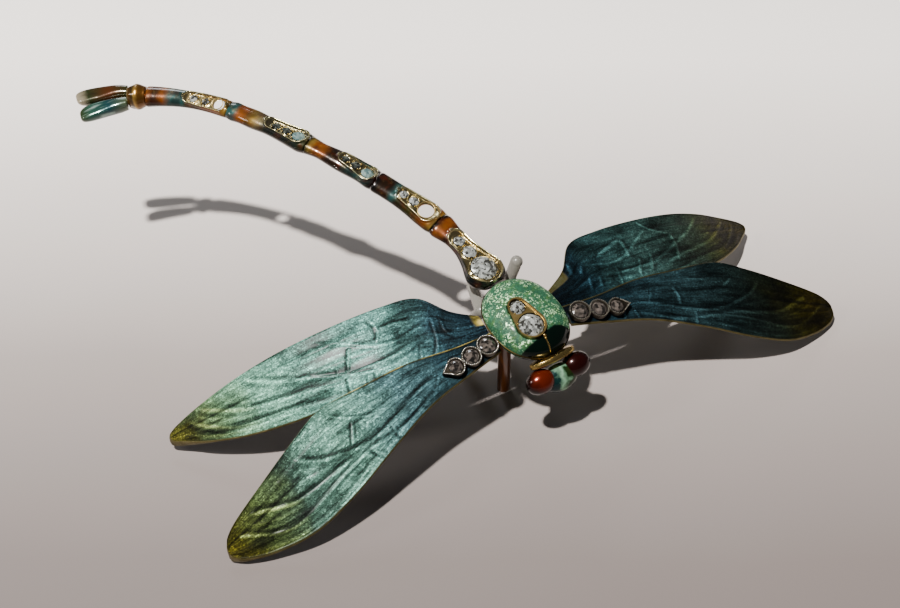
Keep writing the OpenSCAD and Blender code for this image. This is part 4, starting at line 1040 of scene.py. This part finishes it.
# Each segment's colours along it, and the tone of its floor
finishes = [
    ((0, black, 30, (4, 10, 10), 72, (12, 7, 3), 80, brown, 87, amber, 94, amber, 97.5, brown, 100, black),
     (360, 260, 80)),
    ((0, gilt_tone, 10, amber, 35, olive, 60, olive, 70, teal, 78, brown, 90, brown, 97, black, 100, black),
     (200, 150, 40)),
    ((0, black, 20, teal, 50, brown, 66, brown, 80, amber, 88, amber, 95, gilt_tone, 100, olive),
     (100, 90, 60)),
    ((0, olive, 12, (8, 16, 12), 50, (8, 14, 10), 60, (160, 130, 60), 68, gilt_tone, 78, amber, 86, amber,
      91, teal, 100, teal), (30, 40, 30)),
    ((0, gilt_tone, 15, amber, 50, olive, 56, teal, 72, teal, 80, amber, 92, brown, 100, amber),
     (450, 330, 120))]
for i, (stops, floor) in enumerate(finishes):
    piece = segment_body(i)
    dress(piece, abdomen_paint(i, stops, floor))
    if i in holes:
        bore(piece, i, inside)
    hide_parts(f"abdomen_{i + 1}")

centres = []
for i, group in enumerate(stones):
    for s, share in group:
        r = share * abdomen_width / 2
        side, t, up, point = way_frame(np.array(s))
        floor = crest(np.minimum(group_half(segments[i], np.array(s)) + wire_width, half_wide(s) * 0.98), s)
        for angle in np.radians((45, 135, 225, 315)):
            reach = (r + 0.04) * (side * np.cos(angle) + t * np.sin(angle))
            centres.append(point + up * (floor + 0.1) + reach)
grips = small_balls("abdomen_stone_grips", centres, 0.1)
dress(grips, gold)


# TAIL
# A swollen ring of gold-brown enamel over gold, with a jagged rear edge. Two enamelled claspers are
# soldered behind it.
ring_start, ring_wide = 0.9575 * abdomen_length, 0.63 * abdomen_width / 2
ring_table = np.array([
    [0, 74], [12, 80], [38, 97], [52, 100], [68, 93], [86, 84], [100, 74]]) / 100
q = np.linspace(0, 1, 60)[:, None]
b = -around(120)[None, :]
long = abdomen_length - ring_start
notch = 0.05 * np.sin(b * 7) * smooth(q, 0.55, 0.9)
wide = ring_wide * read_at(ring_table, 1, q) + notch
rings = along_way(ring_start + q * long, wide * np.cos(b), wide * np.sin(b))
ring = shell("tail_ring_shell", rings, marks={"run": q})
ring_paint = Paint("tail_ring_enamel", Coat_Weight=0.7, Coat_Roughness=0.1, Metallic=0.8, Roughness=0.3)
run = ring_paint.mark("run") + (ring_paint.noise(1200, 3) - 0.5) * 0.25
ring_paint.set(Base_Color=ring_paint.ramp(run, 0, (120, 45, 4), 35, (140, 60, 6), 55, (340, 200, 40),
                                          68, (50, 30, 6), 90, (120, 50, 5), 100, (300, 200, 80)),
               Normal=ring_paint.bump(ring_paint.noise(1800, 3, 0.6), 0.00006, 0.6))
dress(ring, ring_paint)
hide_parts("tail_ring")

# columns, in percent of the width: place along (of the length), offset to the side, half width, half height
clasper_table = np.array([
    [0, 38, 35, 34], [15, 44, 41, 38], [45, 49, 47, 40], [75, 55, 50, 36], [90, 60, 44, 28],
    [97, 64, 32, 18], [100, 66, 14, 8]]) / 100
for m, side_name, tones in ((1, "outer", ((20, 25, 4), (70, 18, 2), (18, 26, 6), (450, 380, 260))),
                            (-1, "inner", ((60, 80, 40), (6, 40, 46), (18, 70, 46), (30, 40, 5)))):
    q = (1 - (1 - np.linspace(0, 1, 70)) ** 1.5)[:, None]
    offset, w, h = (read_at(clasper_table, c, q) * clasper_width for c in (1, 2, 3))
    dish = 1 - 0.22 * np.clip(np.sin(b), 0, 1) ** 2 * smooth(q, 0.2, 0.6)
    full = np.sign(np.cos(b)) * np.abs(np.cos(b)) ** 0.65
    rings = along_way(abdomen_length + fit_gap + q * clasper_length, m * (offset + fit_gap / 2) + w * full,
                      h * np.sin(b) * dish)
    clasper = shell(f"clasper_{side_name}_shell", rings, marks={"run": q, "over": np.cos(b) * m})
    paint = Paint(f"clasper_{side_name}_enamel", Coat_Weight=1.0, Coat_Roughness=0.06, Metallic=0.5,
                  Roughness=0.22)
    run = paint.mark("run") + (paint.noise(900, 3) - 0.5) * 0.15
    colour = paint.ramp(run, 0, tones[0], 35, tones[1], 75, tones[2], 100, tones[3])
    strokes = paint.point(run * 1.5, paint.mark("over") * 4.0)
    streak = paint.step(paint.noise(1.4, 2, at=strokes), 0.55, 0.75)
    colour = paint.mix(streak * 0.8, colour, (350, 480, 420) if m < 0 else (20, 12, 4))
    paint.set(Base_Color=colour, Normal=paint.bump(paint.noise(1600, 2), 0.00005, 0.5))
    dress(clasper, paint)
    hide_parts("clasper_" + side_name)


# PINS
# The brooch's own gold needle under the wings, the brown lacquered post under the thorax, and two steel pins
# in clear plastic sleeves that hold the root of the abdomen.
dress(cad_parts["brooch_pin"], gold)
lacquer = Paint("post_lacquer", Coat_Weight=1.0, Coat_Roughness=0.08, Roughness=0.3)
lacquer.set(Base_Color=lacquer.mix(lacquer.noise(260, 3), (40, 10, 1), (190, 55, 4)),
            Normal=lacquer.bump(lacquer.noise(900, 2), 0.00004, 0.4))
dress(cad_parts["display_post"], lacquer)
sleeve = Paint("clear_sleeve", Base_Color=(260, 250, 220), Roughness=0.25, IOR=1.42, Transmission_Weight=0.5)
for name in ("display_pin_left", "display_pin_right"):
    dress(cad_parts[name], sleeve)
